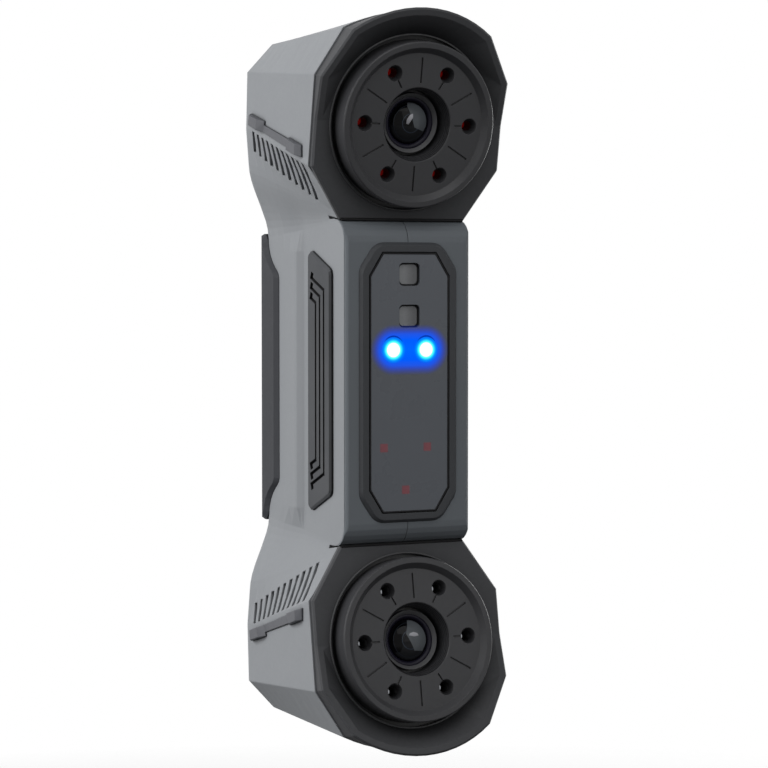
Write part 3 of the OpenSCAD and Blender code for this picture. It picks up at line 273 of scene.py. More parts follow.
def coated_lens(name, glint, moon_reflection, shadow):
    """Front element: dark coated glass with painted reflections of its inner elements' edges (a glint, a
    pale

    crescent and thin rings), painted shade darker towards the top, and a painted shadow. The glint, crescent
    and shadow outlines are convex, in millimetres on the glass, x to the right and z up.
    """
    s = Shader(name)
    uv = s.add("ShaderNodeUVMap", uv_map="glass").outputs["UV"]
    places = s.add("ShaderNodeSeparateXYZ", {"Vector": uv})
    x, z = places.outputs["X"], places.outputs["Y"]
    away = s.math("SQRT", s.math("ADD", s.math("MULTIPLY", x, x), s.math("MULTIPLY", z, z)))
    cloud = s.noise(400.0, 3.0)
    # painted shade: the glass darker towards the top
    base = s.mix(s.span(z, -2.5, 0.6), srgb(40, 41, 43), srgb(14, 14, 16))
    # painted shadow
    base = s.mix(s.math("MULTIPLY", s.inside(x, z, shadow), 0.85), base, srgb(4, 4, 5))
    # painted reflections: thin rings from the inner elements' edges
    for radius, width, color in ((4.55, 0.13, (46, 50, 58)), (2.45, 0.2, (60, 68, 80)),
                                 (2.0, 0.1, (34, 38, 46))):
        off = s.math("ABSOLUTE", s.math("SUBTRACT", away, radius))
        line = s.math("SUBTRACT", 1.0, s.span(off, 0.0, width))
        base = s.mix(line, base, srgb(*color))
    # painted reflection: the glint
    base = s.mix(s.inside(x, z, glint), base, s.mix(cloud, srgb(96, 101, 105), srgb(102, 106, 109)))
    # painted reflection: the pale crescent
    pale = s.mix(s.span(z, 0.0, 2.4), srgb(150, 150, 155), srgb(205, 205, 210))
    base = s.mix(s.inside(x, z, moon_reflection), base, pale)
    base = s.mix(s.span(away, 4.95, 5.3), base, srgb(9, 8, 15))
    dust = s.span(s.noise(2200.0, 5.0, 0.8), 0.68, 0.82, 0.0, 0.25)
    base = s.mix(dust, base, srgb(70, 70, 74))
    rough = s.span(cloud, 0.4, 0.7, 0.05, 0.1)
    return s.finish(s.principled(Base_Color=base, Roughness=rough, Specular_IOR_Level=0.05,
                                 Coat_Weight=0.05, Coat_Roughness=0.03,
                                 Coat_Tint=(0.8, 0.82, 1.0, 1.0)).outputs[0])


def tinted_gloss(name, color, glow=0.0, specular=0.5, roughness=0.1):
    """Small glossy lens or window moulded in a tinted resin."""
    s = Shader(name)
    cloud = s.noise(500.0, 4.0)
    base = s.mix(cloud, shade(color, 0.85), shade(color, 1.12))
    rough = s.span(cloud, 0.3, 0.7, roughness, roughness + 0.1)
    return s.finish(s.principled(Base_Color=base, Roughness=rough, Emission_Color=color,
                                 Emission_Strength=glow, Specular_IOR_Level=specular,
                                 Normal=s.bump(cloud, 0.005 * MM)).outputs[0])


def square_glass(name):
    """Small satin window: paler towards its left edge, where more light gets in behind it."""
    s = Shader(name)
    x = s.add("ShaderNodeSeparateXYZ", {"Vector": s.places}).outputs["X"]
    cloud = s.noise(420.0, 3.0)
    across = s.span(x, -1.0 * MM, 1.6 * MM)
    base = s.mix(across, srgb(142, 144, 146), srgb(104, 105, 107))
    base = s.mix(s.math("MULTIPLY", cloud, 0.3), base, srgb(100, 102, 104))
    # painted shade in the narrow gap round it
    base = s.mix(s.math("MULTIPLY", s.creases(0.5 * MM), 0.9), base, GAP_SHADE_BLACK)
    return s.finish(s.principled(Base_Color=base, Roughness=s.span(cloud, 0.3, 0.7, 0.22, 0.32),
                                 Specular_IOR_Level=0.2).outputs[0])


FINISH = {
    "light_shell": moulded("shell_grey", (0.278, 0.290, 0.306, 1), 0.50, mottle=0.02, edge_radius=0.6,
                           wear_and_highlight=0.2),
    "front_cover": moulded("cover_slate", (0.149, 0.165, 0.180, 1), 0.50, mottle=0.02, edge_radius=0.6,
                           wear_and_highlight=0.15),
    "bezel": moulded("bezel_black", (0.072, 0.0735, 0.078, 1), 0.45, grain=2200.0, grain_height=0.010,
                     wear_and_highlight=0.6, mottle=0.06, specular=0.12, edge_radius=0.25, crease=9.0, crease_shade=0.9),
    "grip_cover": moulded("back_grey", (0.050, 0.052, 0.058, 1), 0.55, mottle=0.04, specular=0.1),
    "pad": rubbery("pad_rubber", (0.078, 0.081, 0.087, 1), shaded_front=0.92),
    "trim": moulded("trim_charcoal", (0.110, 0.113, 0.125, 1), 0.46, wear_and_highlight=0.35, mottle=0.05),
    "window_frame": moulded("frame_black", (0.056, 0.059, 0.064, 1), 0.42, wear_and_highlight=0.3, mottle=0.05,
                            specular=0.15, edge_radius=0.25),
    "window_glass": smoked_window("smoked_glass"),
    "square_lens": square_glass("square_window"),
    "lamp_plate": moulded("plate_black", (0.044, 0.0445, 0.048, 1), 0.36, grain=3400.0, grain_height=0.006,
                          wear_and_highlight=0.6, mottle=0.05, specular=0.22, edge_radius=0.2, crease=3.6, crease_shade=0.9),
    "lamp": tinted_gloss("lamp_red", (0.22, 0.006, 0.004, 1), glow=0.22, specular=0.1),
    "circuit_board": board("solder_mask"),
    "lens_barrel": moulded("barrel_black", (0.105, 0.106, 0.110, 1), 0.36, grain=4000.0, grain_height=0.003,
                           wear_and_highlight=0.5, specular=0.15, edge_radius=0.15, crease=2.0, crease_shade=0.9),
    "housing": metal("housing_alloy", (0.45, 0.46, 0.47, 1), 0.36),
    "frame": metal("frame_alloy", (0.60, 0.61, 0.62, 1), 0.42),
    "laser": metal("laser_brass", (0.60, 0.48, 0.26, 1), 0.3),
    "emitter": tinted_gloss("emitter_red", (0.12, 0.012, 0.014, 1), glow=0.2),
    "button": rubbery("button_rubber", (0.030, 0.030, 0.033, 1)),
    "switch": moulded("switch_black", (0.02, 0.02, 0.02, 1), 0.4),
    "light": tinted_gloss("light_pipe", (0.55, 0.58, 0.62, 1)),
    "socket": metal("socket_nickel", (0.14, 0.14, 0.15, 1), 0.28),
    "contact": metal("contact_gold", (0.80, 0.60, 0.28, 1), 0.22),
    "screw": metal("screw_steel", (0.5, 0.5, 0.51, 1), 0.3),
}
# the two lenses carry their painted reflections and shadow on different parts of their glass
FINISH["lens"] = coated_lens(
    "upper_element",
    glint=[(-1.05, 4.3), (0.92, -1.03), (4.1, -2.1), (6.0, 0.5), (3.5, 6.0), (-0.45, 6.0)],
    moon_reflection=[(-1.5, -0.1), (-0.9, -0.3), (0.35, 1.6), (0.35, 2.5), (-0.5, 2.2), (-1.4, 0.9)],
    shadow=[(-7.0, -0.7), (0.2, -0.7), (0.5, 1.2), (-1.3, 5.6), (-4.0, 5.0)])
lower_element = coated_lens(
    "lower_element",
    glint=[(-1.3, 1.6), (0.95, -2.9), (3.7, -3.1), (6.0, 0.5), (3.5, 5.4), (0.1, 5.4)],
    moon_reflection=[(-0.6, 1.2), (1.0, 0.8), (2.4, 1.0), (2.1, 1.6), (0.9, 2.0), (-0.2, 1.7)],
    shadow=[(-7.0, -3.0), (-0.6, -3.0), (-1.2, 1.8), (0.0, 5.2), (-3.0, 5.2)])
lower_lamps = tinted_gloss("lamp_clear", (0.05, 0.05, 0.055, 1), specular=0.9)
for part in frame["record"]["subparts"]:
    finish = lower_lamps if part["node"] == "lower_lamps" else FINISH[part["material_slot"]]
    materials = nodes[part["node"]].data.materials
    materials.clear()
    materials.append(finish)


# ---- Pieces added round the CAD ----
def mesh_object(name, verts, faces, matrix, material, smooth=True):
    """A piece of the scanner's fixed body, from vertices that the matrix takes to the row frame."""
    mesh = bpy.data.meshes.new(name)
    mesh.from_pydata([matrix @ Vector(v) for v in verts], [], faces)
    if matrix.determinant() < 0:
        mesh.flip_normals()
    mesh.validate()
    obj = bpy.data.objects.new(name, mesh)
    bpy.context.collection.objects.link(obj)
    mesh.materials.append(material)
    if smooth:
        mesh.shade_smooth()
    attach(obj, "scanner")
    return obj


def ring_faces(around, across):
    """Quads of a closed ring whose vertices run across it first and then round it."""
    faces = []
    for i in range(around):
        for j in range(across):
            a, b = i * across + j, i * across + (j + 1) % across
            c, d = ((i + 1) % around) * across + j, ((i + 1) % around) * across + (j + 1) % across
            faces.append((a, b, d, c))
    return faces


def turned(name, profile, matrix, material, steps=96):
    """A ring turned about a head's lens axis (Y). profile is [(radius, depth), ...] in millimetres."""
    verts = []
    for i in range(steps):
        a = 2 * math.pi * i / steps
        verts += [(r * math.cos(a), y, r * math.sin(a)) for r, y in profile]
    return mesh_object(name, verts, ring_faces(steps, len(profile)), matrix, material)


def bar(name, section, ends, matrix, material):
    """A straight bar along X. section is its outline [(y, z), ...] and ends its two X values."""
    n = len(section)
    verts = [(x, y, z) for x in ends for y, z in section]
    faces = [(k, (k + 1) % n, n + (k + 1) % n, n + k) for k in range(n)]
    faces += [tuple(range(n))[::-1], tuple(range(n, 2 * n))]
    return mesh_object(name, verts, faces, matrix, material, smooth=False)


# ---- Lenses: finer pieces than the CAD's, in the same seats ----
GLASS_R_MM, GLASS_RIM_MM, GLASS_SAG_MM = 5.6, 5.7, 2.3
GLASS_BACK_MM = [(GLASS_R_MM, 8.3), (4.6, 8.4)]
GLASS_STEPS, GLASS_RINGS = 128, 28
BARREL_PROFILE_MM = [(5.66, 8.5), (5.66, 5.7), (5.9, 5.65), (6.7, 4.98), (6.82, 4.85), (7.5, 4.2),
                     (7.65, 4.05), (7.8, 4.15), (7.8, 10.0), (8.8, 10.0), (8.8, 18.0), (4.5, 18.0),
                     (4.5, 8.5)]
RECESS_PROFILE_MM = [(6.75, 4.95), (5.72, 5.62), (5.6, 5.6), (5.6, 5.5), (6.7, 4.84)]


def lens_set(head, side, finish):
    """The front element and its barrel of one head."""
    matrix = HEADS[head]
    steps, rings = GLASS_STEPS, GLASS_RINGS
    ball = (GLASS_R_MM ** 2 + GLASS_SAG_MM ** 2) / (2 * GLASS_SAG_MM)
    apex = GLASS_RIM_MM - GLASS_SAG_MM
    radii = [GLASS_R_MM * (i + 1) / rings for i in range(rings)]
    outline = [(r, apex + ball - math.sqrt(ball ** 2 - r * r)) for r in radii]
    outline += GLASS_BACK_MM
    verts = [(0.0, apex, 0.0)]
    for r, y in outline:
        verts += [(r * math.cos(2 * math.pi * i / steps), y, r * math.sin(2 * math.pi * i / steps))
                  for i in range(steps)]
    faces = [(0, 1 + i, 1 + (i + 1) % steps) for i in range(steps)]
    for ring in range(len(outline) - 1):
        first = 1 + ring * steps
        faces += [(first + i, first + steps + i, first + steps + (i + 1) % steps, first + (i + 1) % steps)
                  for i in range(steps)]
    faces.append(tuple(1 + (len(outline) - 1) * steps + i for i in range(steps))[::-1])
    glass = mesh_object(f"{head}_element", verts, faces, matrix, finish)
    layer = glass.data.uv_layers.new(name="glass")
    for loop in glass.data.loops:
        x, _, z = verts[loop.vertex_index]
        layer.data[loop.index].uv = (x, z * side)
    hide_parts(f"{head}_lens")
    barrel = turned(f"{head}_barrel", BARREL_PROFILE_MM, matrix, FINISH["lens_barrel"])
    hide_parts(f"{head}_lens_barrel")
    recess = turned(f"{head}_barrel_recess", RECESS_PROFILE_MM, matrix, recess_black)


recess_black = tinted_gloss("recess_black", (0.010, 0.009, 0.018, 1), specular=0.1, roughness=0.25)
lens_set("upper", 1, FINISH["lens"])
lens_set("lower", -1, lower_element)


# ---- Painted shade lines at the threads of the lens wells, beads round the bezels' openings, seals in the neck gaps ----
ROOT_R_MM, ROOT_Y_MM = 9.4, 0.385       # the first thread's root, from the lens axis and the plate's face
THREAD_PITCH_MM, THREAD_STEP_MM, THREADS = 0.55, 0.2, 4
OPENING_R_MM, BEAD_IN_MM, BEAD_OUT_MM = 22.6, 0.02, 0.51
BEZEL_Y_MM, BEAD_PROUD_MM, BEAD_ROOT_MM, BEAD_STEPS = 4.3, 0.42, 0.3, 160
SEAL_FRONT, SEAL_BACK, SEAL_HALF_H = 3.0 * MM, 4.8 * MM, 0.3 * MM       # depths from the cover's front
SEAL_INSET, SEAL_NOSE = 0.5 * MM, 0.2 * MM
thread_shade_dark = moulded("thread_shade_dark", (0.010, 0.010, 0.011, 1), 0.5, specular=0.1)
bead_satin = moulded("bead_satin", (0.050, 0.051, 0.053, 1), 0.40, specular=0.25, edge_radius=0.1, wear_and_highlight=0.4,
                     crease_shade=0.0)
for head, matrix in HEADS.items():
    for n in range(THREADS):
        y, r = ROOT_Y_MM + n * THREAD_PITCH_MM, ROOT_R_MM - n * THREAD_STEP_MM
        # dark rings at the thread roots: painted shade lines where the threads cast shadow
        profile = [(r + 0.15, y - 0.13), (r - 0.07, y - 0.02), (r + 0.15, y + 0.13)]
        root = turned(f"{head}_thread_{n + 1}", profile, matrix, thread_shade_dark)
    low, high = OPENING_R_MM + BEAD_IN_MM, OPENING_R_MM + BEAD_OUT_MM
    top, foot = BEZEL_Y_MM - BEAD_PROUD_MM, BEZEL_Y_MM + BEAD_ROOT_MM
    profile = [(low, foot), (low, top + 0.08), (low + 0.12, top), (high - 0.14, top), (high, top + 0.12),
               (high, foot)]
    bead = turned(f"{head}_opening_bead", profile, matrix, bead_satin, steps=BEAD_STEPS)
seal_black = rubbery("seal_black", (0.010, 0.010, 0.011, 1))
cover_low, cover_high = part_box("front_cover_left")
for label, z in (("upper", cover_high[2]), ("lower", cover_low[2])):
    half, front, back = -cover_low[0] - SEAL_INSET, cover_low[1] + SEAL_FRONT, cover_low[1] + SEAL_BACK
    low, high, nose = z - SEAL_HALF_H, z + SEAL_HALF_H, SEAL_HALF_H * 0.6
    section = [(front + SEAL_NOSE, low), (front, z - nose), (front, z + nose), (front + SEAL_NOSE, high),
               (back, high), (back, low)]
    seal = bar(f"{label}_neck_seal", section, (-half, half), Matrix.Identity(4), seal_black)


# ---- Painted glints: bright slivers on the lower head's clear lamps, glowing on their own ----
LAMP_CIRCLE_MM, LAMP_Y_MM, LAMP_R_MM, LAMPS_PER_HEAD = 15.0, 4.2, 1.2, 6
SLIVER_X_MM, SLIVER_H_MM, SLIVER_W_MM, SLIVER_STEPS = 0.20, 0.55, 0.15, 6
SLIVER_LIFT_MM = 0.02           # how far a sliver stands off its lamp, and half its width at its tips


def strip_faces(steps, first=0):
    """Quads of an open strip whose vertices come in pairs."""
    return [(first + 2 * i, first + 2 * i + 1, first + 2 * i + 3, first + 2 * i + 2) for i in range(steps)]


def lamp_slivers():
    verts, faces = [], []
    for n in range(LAMPS_PER_HEAD):
        a = 2 * math.pi * n / LAMPS_PER_HEAD
        faces += strip_faces(SLIVER_STEPS, len(verts))
        for i in range(SLIVER_STEPS + 1):
            t = 2 * i / SLIVER_STEPS - 1
            for edge in (-1, 1):
                x = SLIVER_X_MM + edge * (SLIVER_W_MM * math.sqrt(1 - t * t) + SLIVER_LIFT_MM)
                z = SLIVER_H_MM * t
                dome = LAMP_Y_MM - SLIVER_LIFT_MM + LAMP_R_MM - math.sqrt(LAMP_R_MM ** 2 - x * x - z ** 2)
                verts.append((LAMP_CIRCLE_MM * math.cos(a) + x, dome, LAMP_CIRCLE_MM * math.sin(a) + z))
    return verts, faces


# painted highlights: pale slivers that glow on their own
slivers = mesh_object("lower_lamp_glints", *lamp_slivers(), HEADS["lower"],
                      tinted_gloss("glint_pale", (0.45, 0.47, 0.50, 1), glow=0.45))


# ---- Black woven screens behind the vents, standing in for the shade inside them ----
def mesh_cloth(name):
    """Fine black woven screen."""
    s = Shader(name)
    weave = s.add("ShaderNodeTexChecker", {"Vector": s.places, "Scale": 2600.0,
                                           "Color1": (0.006, 0.006, 0.007, 1),
                                           "Color2": (0.020, 0.020, 0.022, 1)})
    base = s.mix(s.math("MULTIPLY", s.noise(300.0), 0.4), weave.outputs["Color"], (0.012, 0.012, 0.013, 1))
    return s.finish(s.principled(Base_Color=base, Roughness=0.7, Specular_IOR_Level=0.1,
                                 Normal=s.bump(weave.outputs["Fac"], 0.03 * MM)).outputs[0])


SCREEN_X_MM, SCREEN_T_MM, SCREEN_CORNER_MM = 17.5, 0.4, 0.4
# from the lens plane back, and from the lens centre up; the tab reaches further forward under the lamp board
SCREEN_Y_MM, SCREEN_Z_MM = (16.6, 47.0), (-24.0, 4.0)
SCREEN_TAB_Y_MM, SCREEN_TAB_Z_MM = 12.0, -8.5
# near-black sheets that paint the shade inside the vents
vent_shade_black = mesh_cloth("vent_shade_black")
(y0, y1), (z0, z1) = SCREEN_Y_MM, [BASELINE / MM / 2 + z for z in SCREEN_Z_MM]
tab_y, tab_z, cut = SCREEN_TAB_Y_MM, BASELINE / MM / 2 + SCREEN_TAB_Z_MM, SCREEN_CORNER_MM
screen_loop = [(tab_y, z0 + cut), (tab_y + cut, z0), (y1 - cut, z0), (y1, z0 + cut), (y1, z1 - cut),
               (y1 - cut, z1), (y0 + cut, z1), (y0, z1 - cut), (y0, tab_z), (tab_y, tab_z)]
for side, head in ((1, "upper"), (-1, "lower")):
    for hand, label in ((-1, "left"), (1, "right")):
        screen = bar(f"{head}_{label}_screen", [(y, side * z) for y, z in screen_loop],
                     (hand * SCREEN_X_MM, hand * (SCREEN_X_MM + SCREEN_T_MM)), GRIP_MATRIX, vent_shade_black)


# ---- Gaskets of the window and of the two square optics ----
GASKET_STEPS = 720
GASKET_W, GASKET_PROUD, GASKET_ROOT = 0.42 * MM, 0.10 * MM, 0.25 * MM
SQUARE_GAP_MM, SQUARE_R_MM, SQUARE_LIP_MM, SQUARE_FOOT_MM = 0.42, 1.1, 0.12, 0.6
SQUARE_CORNERS, CORNER_STEPS = 4, 7


def window_outline():
    """The glass's front outline in the row frame, as (x, z) points in order round its middle."""
    mesh = nodes["window_glass"].data
    front = min(v.co.y for v in mesh.vertices)
    low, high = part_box("window_glass")
    middle = (low[2] + high[2]) / 2
    points = {(round(v.co.x, 6), round(v.co.z, 6)) for v in mesh.vertices if v.co.y < front + 0.02 * MM}
    edge = []
    for i in range(GASKET_STEPS):
        a = 2 * math.pi * i / GASKET_STEPS
        edge.append(max(points, key=lambda p: p[0] * math.cos(a) + (p[1] - middle) * math.sin(a)))
    return front, [p for n, p in enumerate(edge) if p != edge[n - 1]]


def inset_point(outline, n, distance):
    """Corner n of the window's outline, moved inwards by a distance from both of its edges."""
    before, here, after = (Vector(outline[(n + k) % len(outline)]) for k in (-1, 0, 1))
    one, two = (here - before).normalized(), (after - here).normalized()
    normals = [Vector((-d.y, d.x)) for d in (one, two)]
    middle = (normals[0] + normals[1]).normalized()
    return here + middle * distance / max(0.5, middle.dot(normals[0]))


glass_front, outline = window_outline()
SECTION = ((0.0, GASKET_ROOT), (0.0, -GASKET_PROUD * 0.6), (GASKET_W * 0.5, -GASKET_PROUD),
           (GASKET_W, -GASKET_PROUD * 0.6), (GASKET_W, GASKET_ROOT))
gasket_verts = []
for n in range(len(outline)):
    for inward, back in SECTION:
        p = inset_point(outline, n, inward)
        gasket_verts.append((p.x, glass_front + back, p.y))
gasket_faces = [(a, c, d, b) for a, b, d, c in ring_faces(len(outline), len(SECTION))]
gasket = mesh_object("window_gasket", gasket_verts, gasket_faces, Matrix.Identity(4),
                     rubbery("gasket_black", (0.008, 0.008, 0.009, 1)), smooth=False)


def square_gasket_verts(low, high):
    """A rounded square ring round an optic whose box is low to high, in millimetres."""
    middle, flat = (low + high) / 2, (high.x - low.x) / 2 - SQUARE_R_MM
    foot, brow, top = low.y + SQUARE_FOOT_MM, low.y - SQUARE_LIP_MM * 0.5, low.y - SQUARE_LIP_MM
    verts = []
    for outward, y in ((0.02, foot), (0.02, brow), (SQUARE_GAP_MM * 0.5, top), (SQUARE_GAP_MM, brow),
                       (SQUARE_GAP_MM, foot)):
        r = SQUARE_R_MM + outward
        for corner in range(SQUARE_CORNERS):
            turn = math.pi / 2 * (corner + 0.5)
            across, up = math.copysign(flat, math.cos(turn)), math.copysign(flat, math.sin(turn))
            for step in range(CORNER_STEPS):
                a = math.pi / 2 * (corner + step / (CORNER_STEPS - 1))
                verts.append((middle.x + across + r * math.cos(a), y, middle.z + up + r * math.sin(a)))
    return verts


square_black = rubbery("square_gasket_black", (0.008, 0.008, 0.009, 1))
for label in ("texture_camera", "texture_lamp"):
    verts = square_gasket_verts(*[Vector(corner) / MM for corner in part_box(f"{label}_lens")])
    per_loop = SQUARE_CORNERS * CORNER_STEPS
    ring = mesh_object(f"{label}_gasket", verts, ring_faces(len(verts) // per_loop, per_loop),
                       Matrix.Scale(MM, 4), square_black, smooth=False)


# ---- Light of the emitters ----
def glow(name, rings):
    """A flat pool of light that fades outwards. rings is [(place 0..1, colour, strength, cover)], from
    the middle."""
    s = Shader(name)
    uv = s.add("ShaderNodeUVMap", uv_map="pool").outputs["UV"]
    length = s.add("ShaderNodeVectorMath", operation="LENGTH")
    s.feed(length.inputs[0], uv)
    where = length.outputs["Value"]
    ramps = {}
    for key, index in (("color", 1), ("strength", 2), ("cover", 3)):
        ramp = s.add("ShaderNodeValToRGB", {"Fac": where})
        points = ramp.color_ramp.elements
        top = max(r[index] for r in rings) if key == "strength" else 1.0
        for n, ring in enumerate(rings):
            value = ring[index] if key == "color" else (ring[index] / top,) * 3 + (1.0,)
            point = points[n] if n < 2 else points.new(ring[0])
            point.position, point.color = ring[0], value
        ramps[key] = (ramp.outputs["Color"], top)
    strength = s.math("MULTIPLY", ramps["strength"][0], ramps["strength"][1])
    light = s.add("ShaderNodeEmission", {"Color": ramps["color"][0], "Strength": strength})
    clear = s.add("ShaderNodeBsdfTransparent")
    mixed = s.add("ShaderNodeMixShader", {"Fac": ramps["cover"][0]})
    s.feed(mixed.inputs[1], clear.outputs[0])
    s.feed(mixed.inputs[2], light.outputs[0])
    return s.finish(mixed.outputs[0])


def pool(name, x, y, z, radius, material, limit, steps=64):
    """A disc facing forward at (x, z), cut off at |x| = limit, with UVs from its middle to its rim."""
    def point(i):
        a = 2 * math.pi * i / steps
        return max(-limit, min(limit, x + radius * math.cos(a))), z + radius * math.sin(a)
    verts = [(x, y, z)] + [(px, y, pz) for px, pz in map(point, range(steps))]
    faces = [(0, 1 + i, 1 + (i + 1) % steps) for i in range(steps)]
    obj = mesh_object(name, verts, faces, GRIP_MATRIX, material, smooth=False)
    layer = obj.data.uv_layers.new(name="pool")
    for loop in obj.data.loops:
        vx, _, vz = verts[loop.vertex_index]
        layer.data[loop.index].uv = ((vx - x) / radius, (vz - z) / radius)
    obj.visible_shadow = False
    return obj


LASER_X_MM, LASER_Z_MM = 4.75, 8.6
IR_PLACES_MM = ((-6.3, -16.9), (6.3, -16.9), (0.0, -28.0))
IR_HALF_MM, IR_CORNER_MM = 1.1, 0.12
IR_SHIFT_MM = -1.1              # where they show on the glass, as they stand behind it
HALO_R_MM, CORE_R_MM = 6.6, 3.6
LID_R_MM, LID_W_MM, LID_TIP_MM, LID_STEPS = 3.35, 0.42, 0.02, 24
LID_START, LID_SWEEP = 38, 104  # degrees
INFRARED_LIFT_MM, HALO_LIFT_MM, CORE_LIFT_MM, LID_LIFT_MM = 0.05, 0.14, 0.18, 0.21     # off the glass
glass_front_mm = (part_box("window_glass")[0][1] - LENS_PLANE_Y) / MM
glass_half_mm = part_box("window_glass")[1][0] / MM


def halo(name, y, material, columns=72, rows=44):
    """One sheet of blue light round both lasers; its UV is 0 on the line between them and 1 at its rim."""
    limit = glass_half_mm - 0.15
    verts = [(-limit + 2 * limit * i / columns, y, LASER_Z_MM - HALO_R_MM + 2 * HALO_R_MM * j / rows)
             for j in range(rows + 1) for i in range(columns + 1)]
    faces = [(k, k + 1, k + columns + 2, k + columns + 1)
             for j in range(rows) for k in range(j * (columns + 1), j * (columns + 1) + columns)]
    obj = mesh_object(name, verts, faces, GRIP_MATRIX, material, smooth=False)
    layer = obj.data.uv_layers.new(name="pool")
    for loop in obj.data.loops:
        x, _, z = verts[loop.vertex_index]
        away = math.hypot(max(0.0, abs(x) - LASER_X_MM), z - LASER_Z_MM)
        layer.data[loop.index].uv = (min(1.0, away / HALO_R_MM), 0.0)
    obj.visible_shadow = False


halo("blue_halo", glass_front_mm - HALO_LIFT_MM,
     glow("halo_blue", [(0.0, (0.0, 0.13, 1, 1), 1.0, 1.0), (0.40, (0.0, 0.11, 1, 1), 1.0, 0.98),
                        (0.62, (0.01, 0.11, 1, 1), 0.95, 0.80), (0.82, (0.02, 0.09, 0.9, 1), 0.8, 0.30),
                        (1.0, (0.02, 0.08, 0.7, 1), 0.6, 0.0)]))
core = glow("core_blue", [(0.0, (1, 1, 1, 1), 8.0, 1.0), (0.36, (0.9, 1, 1, 1), 4.0, 1.0),
                          (0.58, (0.05, 0.80, 1, 1), 1.6, 1.0), (0.78, (0.0, 0.34, 1, 1), 1.1, 0.75),
                          (1.0, (0.0, 0.2, 1, 1), 1.0, 0.0)])
LASERS = (("left", -LASER_X_MM), ("right", LASER_X_MM))
for label, x in LASERS:
    pool(f"{label}_beam", x, glass_front_mm - CORE_LIFT_MM, LASER_Z_MM, CORE_R_MM, core, glass_half_mm - 0.1)
lid_blue = glow("lid_blue", [(0.0, (0.0, 0.02, 0.30, 1), 1.0, 0.75), (1.0, (0.0, 0.02, 0.30, 1), 1.0, 0.75)])
for label, x in LASERS:
    # the shaded upper edge of the laser's opening, seen against its light
    verts = []
    for i in range(LID_STEPS + 1):
        a = math.radians(LID_START + LID_SWEEP * i / LID_STEPS)
        taper = math.sin(math.pi * i / LID_STEPS)
        for r in (LID_R_MM, LID_R_MM + LID_W_MM * taper + LID_TIP_MM):
            verts.append((x + r * math.cos(a), glass_front_mm - LID_LIFT_MM, LASER_Z_MM + r * math.sin(a)))
    lid = mesh_object(f"{label}_opening_edge", verts, strip_faces(LID_STEPS), GRIP_MATRIX, lid_blue,
                      smooth=False)
    lid.data.uv_layers.new(name="pool")
    lid.visible_shadow = False


def infrared_glow():
    """A faint red square behind smoked glass, a little uneven."""
    s = Shader("infrared_red")
    cloud = s.noise(900.0, 3.0)
    color = s.mix(cloud, (0.26, 0.045, 0.055, 1), (0.34, 0.05, 0.06, 1))
    light = s.add("ShaderNodeEmission", {"Color": color, "Strength": 0.75})
    mixed = s.add("ShaderNodeMixShader", {"Fac": 0.38})
    s.feed(mixed.inputs[1], s.add("ShaderNodeBsdfTransparent").outputs[0])
    s.feed(mixed.inputs[2], light.outputs[0])
    return s.finish(mixed.outputs[0])


infrared = infrared_glow()
for n, (x, z) in enumerate(IR_PLACES_MM):
    y, h, c = glass_front_mm - INFRARED_LIFT_MM, IR_HALF_MM, IR_HALF_MM - IR_CORNER_MM
    square = [(-h, -c), (-c, -h), (c, -h), (h, -c), (h, c), (c, h), (-c, h), (-h, c)]
    spot = mesh_object(f"infrared_{n + 1}", [(x + IR_SHIFT_MM + px, y, z + pz) for px, pz in square],
                       [tuple(range(len(square)))], GRIP_MATRIX, infrared, smooth=False)
    spot.visible_shadow = False


# ---- Stage: floor, world, lamps, camera ----
FLOOR_Z, FLOOR_R = -0.32, 1.15
FLOOR_BOUNCE = 0.16
FLOOR_FADE = (0.35, 1.1)        # from here on the floor fades into the white behind it


def floor_material():
    """Pale where the camera looks, darker as a bouncer, so that the underside stays in shade."""
    s = Shader("floor_pale")
    tone = s.mix(s.noise(3.0, 4.0), (0.86, 0.86, 0.86, 1), (0.9, 0.9, 0.9, 1))
    seen = s.add("ShaderNodeLightPath").outputs["Is Camera Ray"]
    body = s.principled(Base_Color=s.mix(seen, (FLOOR_BOUNCE,) * 3 + (1.0,), tone), Roughness=0.8,
                        Specular_IOR_Level=0.0)
    length = s.add("ShaderNodeVectorMath", operation="LENGTH")
    s.feed(length.inputs[0], s.places)
    fade = s.add("ShaderNodeMixShader", {"Fac": s.span(length.outputs["Value"], *FLOOR_FADE)})
    s.feed(fade.inputs[1], body.outputs[0])
    s.feed(fade.inputs[2], s.add("ShaderNodeBsdfTransparent").outputs[0])
    return s.finish(fade.outputs[0])


bpy.ops.mesh.primitive_circle_add(vertices=96, radius=FLOOR_R, fill_type="NGON", location=(0, 0, FLOOR_Z))
floor = bpy.context.object
floor.name = "floor"
floor.data.materials.append(floor_material())


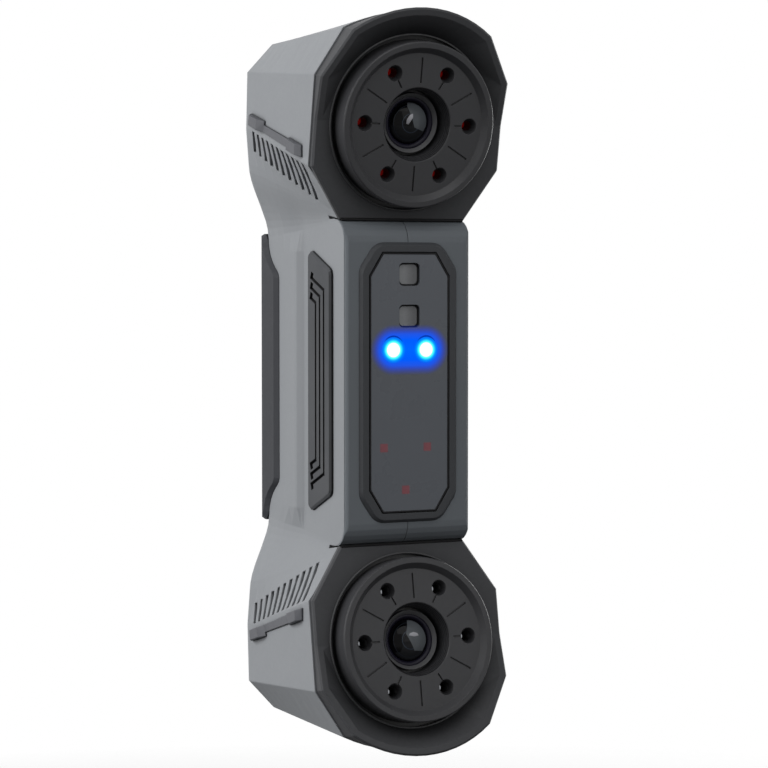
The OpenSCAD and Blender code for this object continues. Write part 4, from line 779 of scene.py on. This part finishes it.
def build_world(ambient):
    """White where the camera or a mirror looks, a soft even grey as light."""
    world = bpy.data.worlds.new("studio")
    world.use_nodes = True
    tree = world.node_tree
    tree.nodes.clear()
    path = tree.nodes.new("ShaderNodeLightPath")
    seen = path.outputs["Is Camera Ray"]
    for other in ("Is Glossy Ray", "Is Transmission Ray"):
        most = tree.nodes.new("ShaderNodeMath")
        most.operation = "MAXIMUM"
        tree.links.new(seen, most.inputs[0])
        tree.links.new(path.outputs[other], most.inputs[1])
        seen = most.outputs[0]
    mix = tree.nodes.new("ShaderNodeMixShader")
    lit = tree.nodes.new("ShaderNodeBackground")
    lit.inputs["Color"].default_value = (ambient, ambient, ambient * 1.03, 1)
    white = tree.nodes.new("ShaderNodeBackground")
    white.inputs["Color"].default_value = (1, 1, 1, 1)
    out = tree.nodes.new("ShaderNodeOutputWorld")
    tree.links.new(seen, mix.inputs[0])
    tree.links.new(lit.outputs[0], mix.inputs[1])
    tree.links.new(white.outputs[0], mix.inputs[2])
    tree.links.new(mix.outputs[0], out.inputs[0])
    bpy.context.scene.world = world


def softbox(name, place, size, watts):
    """A rectangular lamp that looks at the origin."""
    lamp = bpy.data.lights.new(name, "AREA")
    lamp.shape = "RECTANGLE"
    lamp.size, lamp.size_y = size
    lamp.energy = watts
    obj = bpy.data.objects.new(name, lamp)
    obj.location = place
    obj.rotation_euler = (-Vector(place)).to_track_quat("-Z", "Y").to_euler()
    bpy.context.collection.objects.link(obj)


AMBIENT = 0.08
LAMPS = (
    ("key_side", (-1.2, 0.25, 0.45), (0.9, 1.0), 14.2),
    ("key_front", (-1.15, -0.35, 0.45), (0.9, 1.0), 2.6),
    ("back_right", (0.9, 0.75, 0.3), (0.6, 0.9), 5.0),
    ("fill_above", (-0.1, -0.85, 1.05), (0.9, 0.9), 4.6),
    ("fill_front", (0.25, -1.30, 0.42), (1.0, 0.8), 3.2),
)
build_world(AMBIENT)
for lamp in LAMPS:
    softbox(*lamp)

# the camera stands where the photograph was taken from: to the left of the front, a little above the middle
CAMERA_AZIMUTH = math.radians(25.632)
CAMERA_TILT = math.radians(2.563)
CAMERA_PLACE = Vector((-0.26833, -0.53928 + LENS_PLANE_Y, 0.02680))
CAMERA_LENS_MM, SENSOR_MM = 108.9, 36.0
ahead = Vector((math.sin(CAMERA_AZIMUTH) * math.cos(CAMERA_TILT),
                math.cos(CAMERA_AZIMUTH) * math.cos(CAMERA_TILT), -math.sin(CAMERA_TILT)))
right = Vector((math.cos(CAMERA_AZIMUTH), -math.sin(CAMERA_AZIMUTH), 0))
up = right.cross(ahead)
camera_data = bpy.data.cameras.new("camera")
camera_data.lens = CAMERA_LENS_MM
camera_data.sensor_width = SENSOR_MM
camera_data.clip_start = 0.01
camera = bpy.data.objects.new("camera", camera_data)
camera.matrix_world = Matrix.Translation(CAMERA_PLACE) @ Matrix((right, up, -ahead)).transposed().to_4x4()
bpy.context.collection.objects.link(camera)
bpy.context.scene.camera = camera
bpy.context.scene.view_settings.view_transform = "Standard"
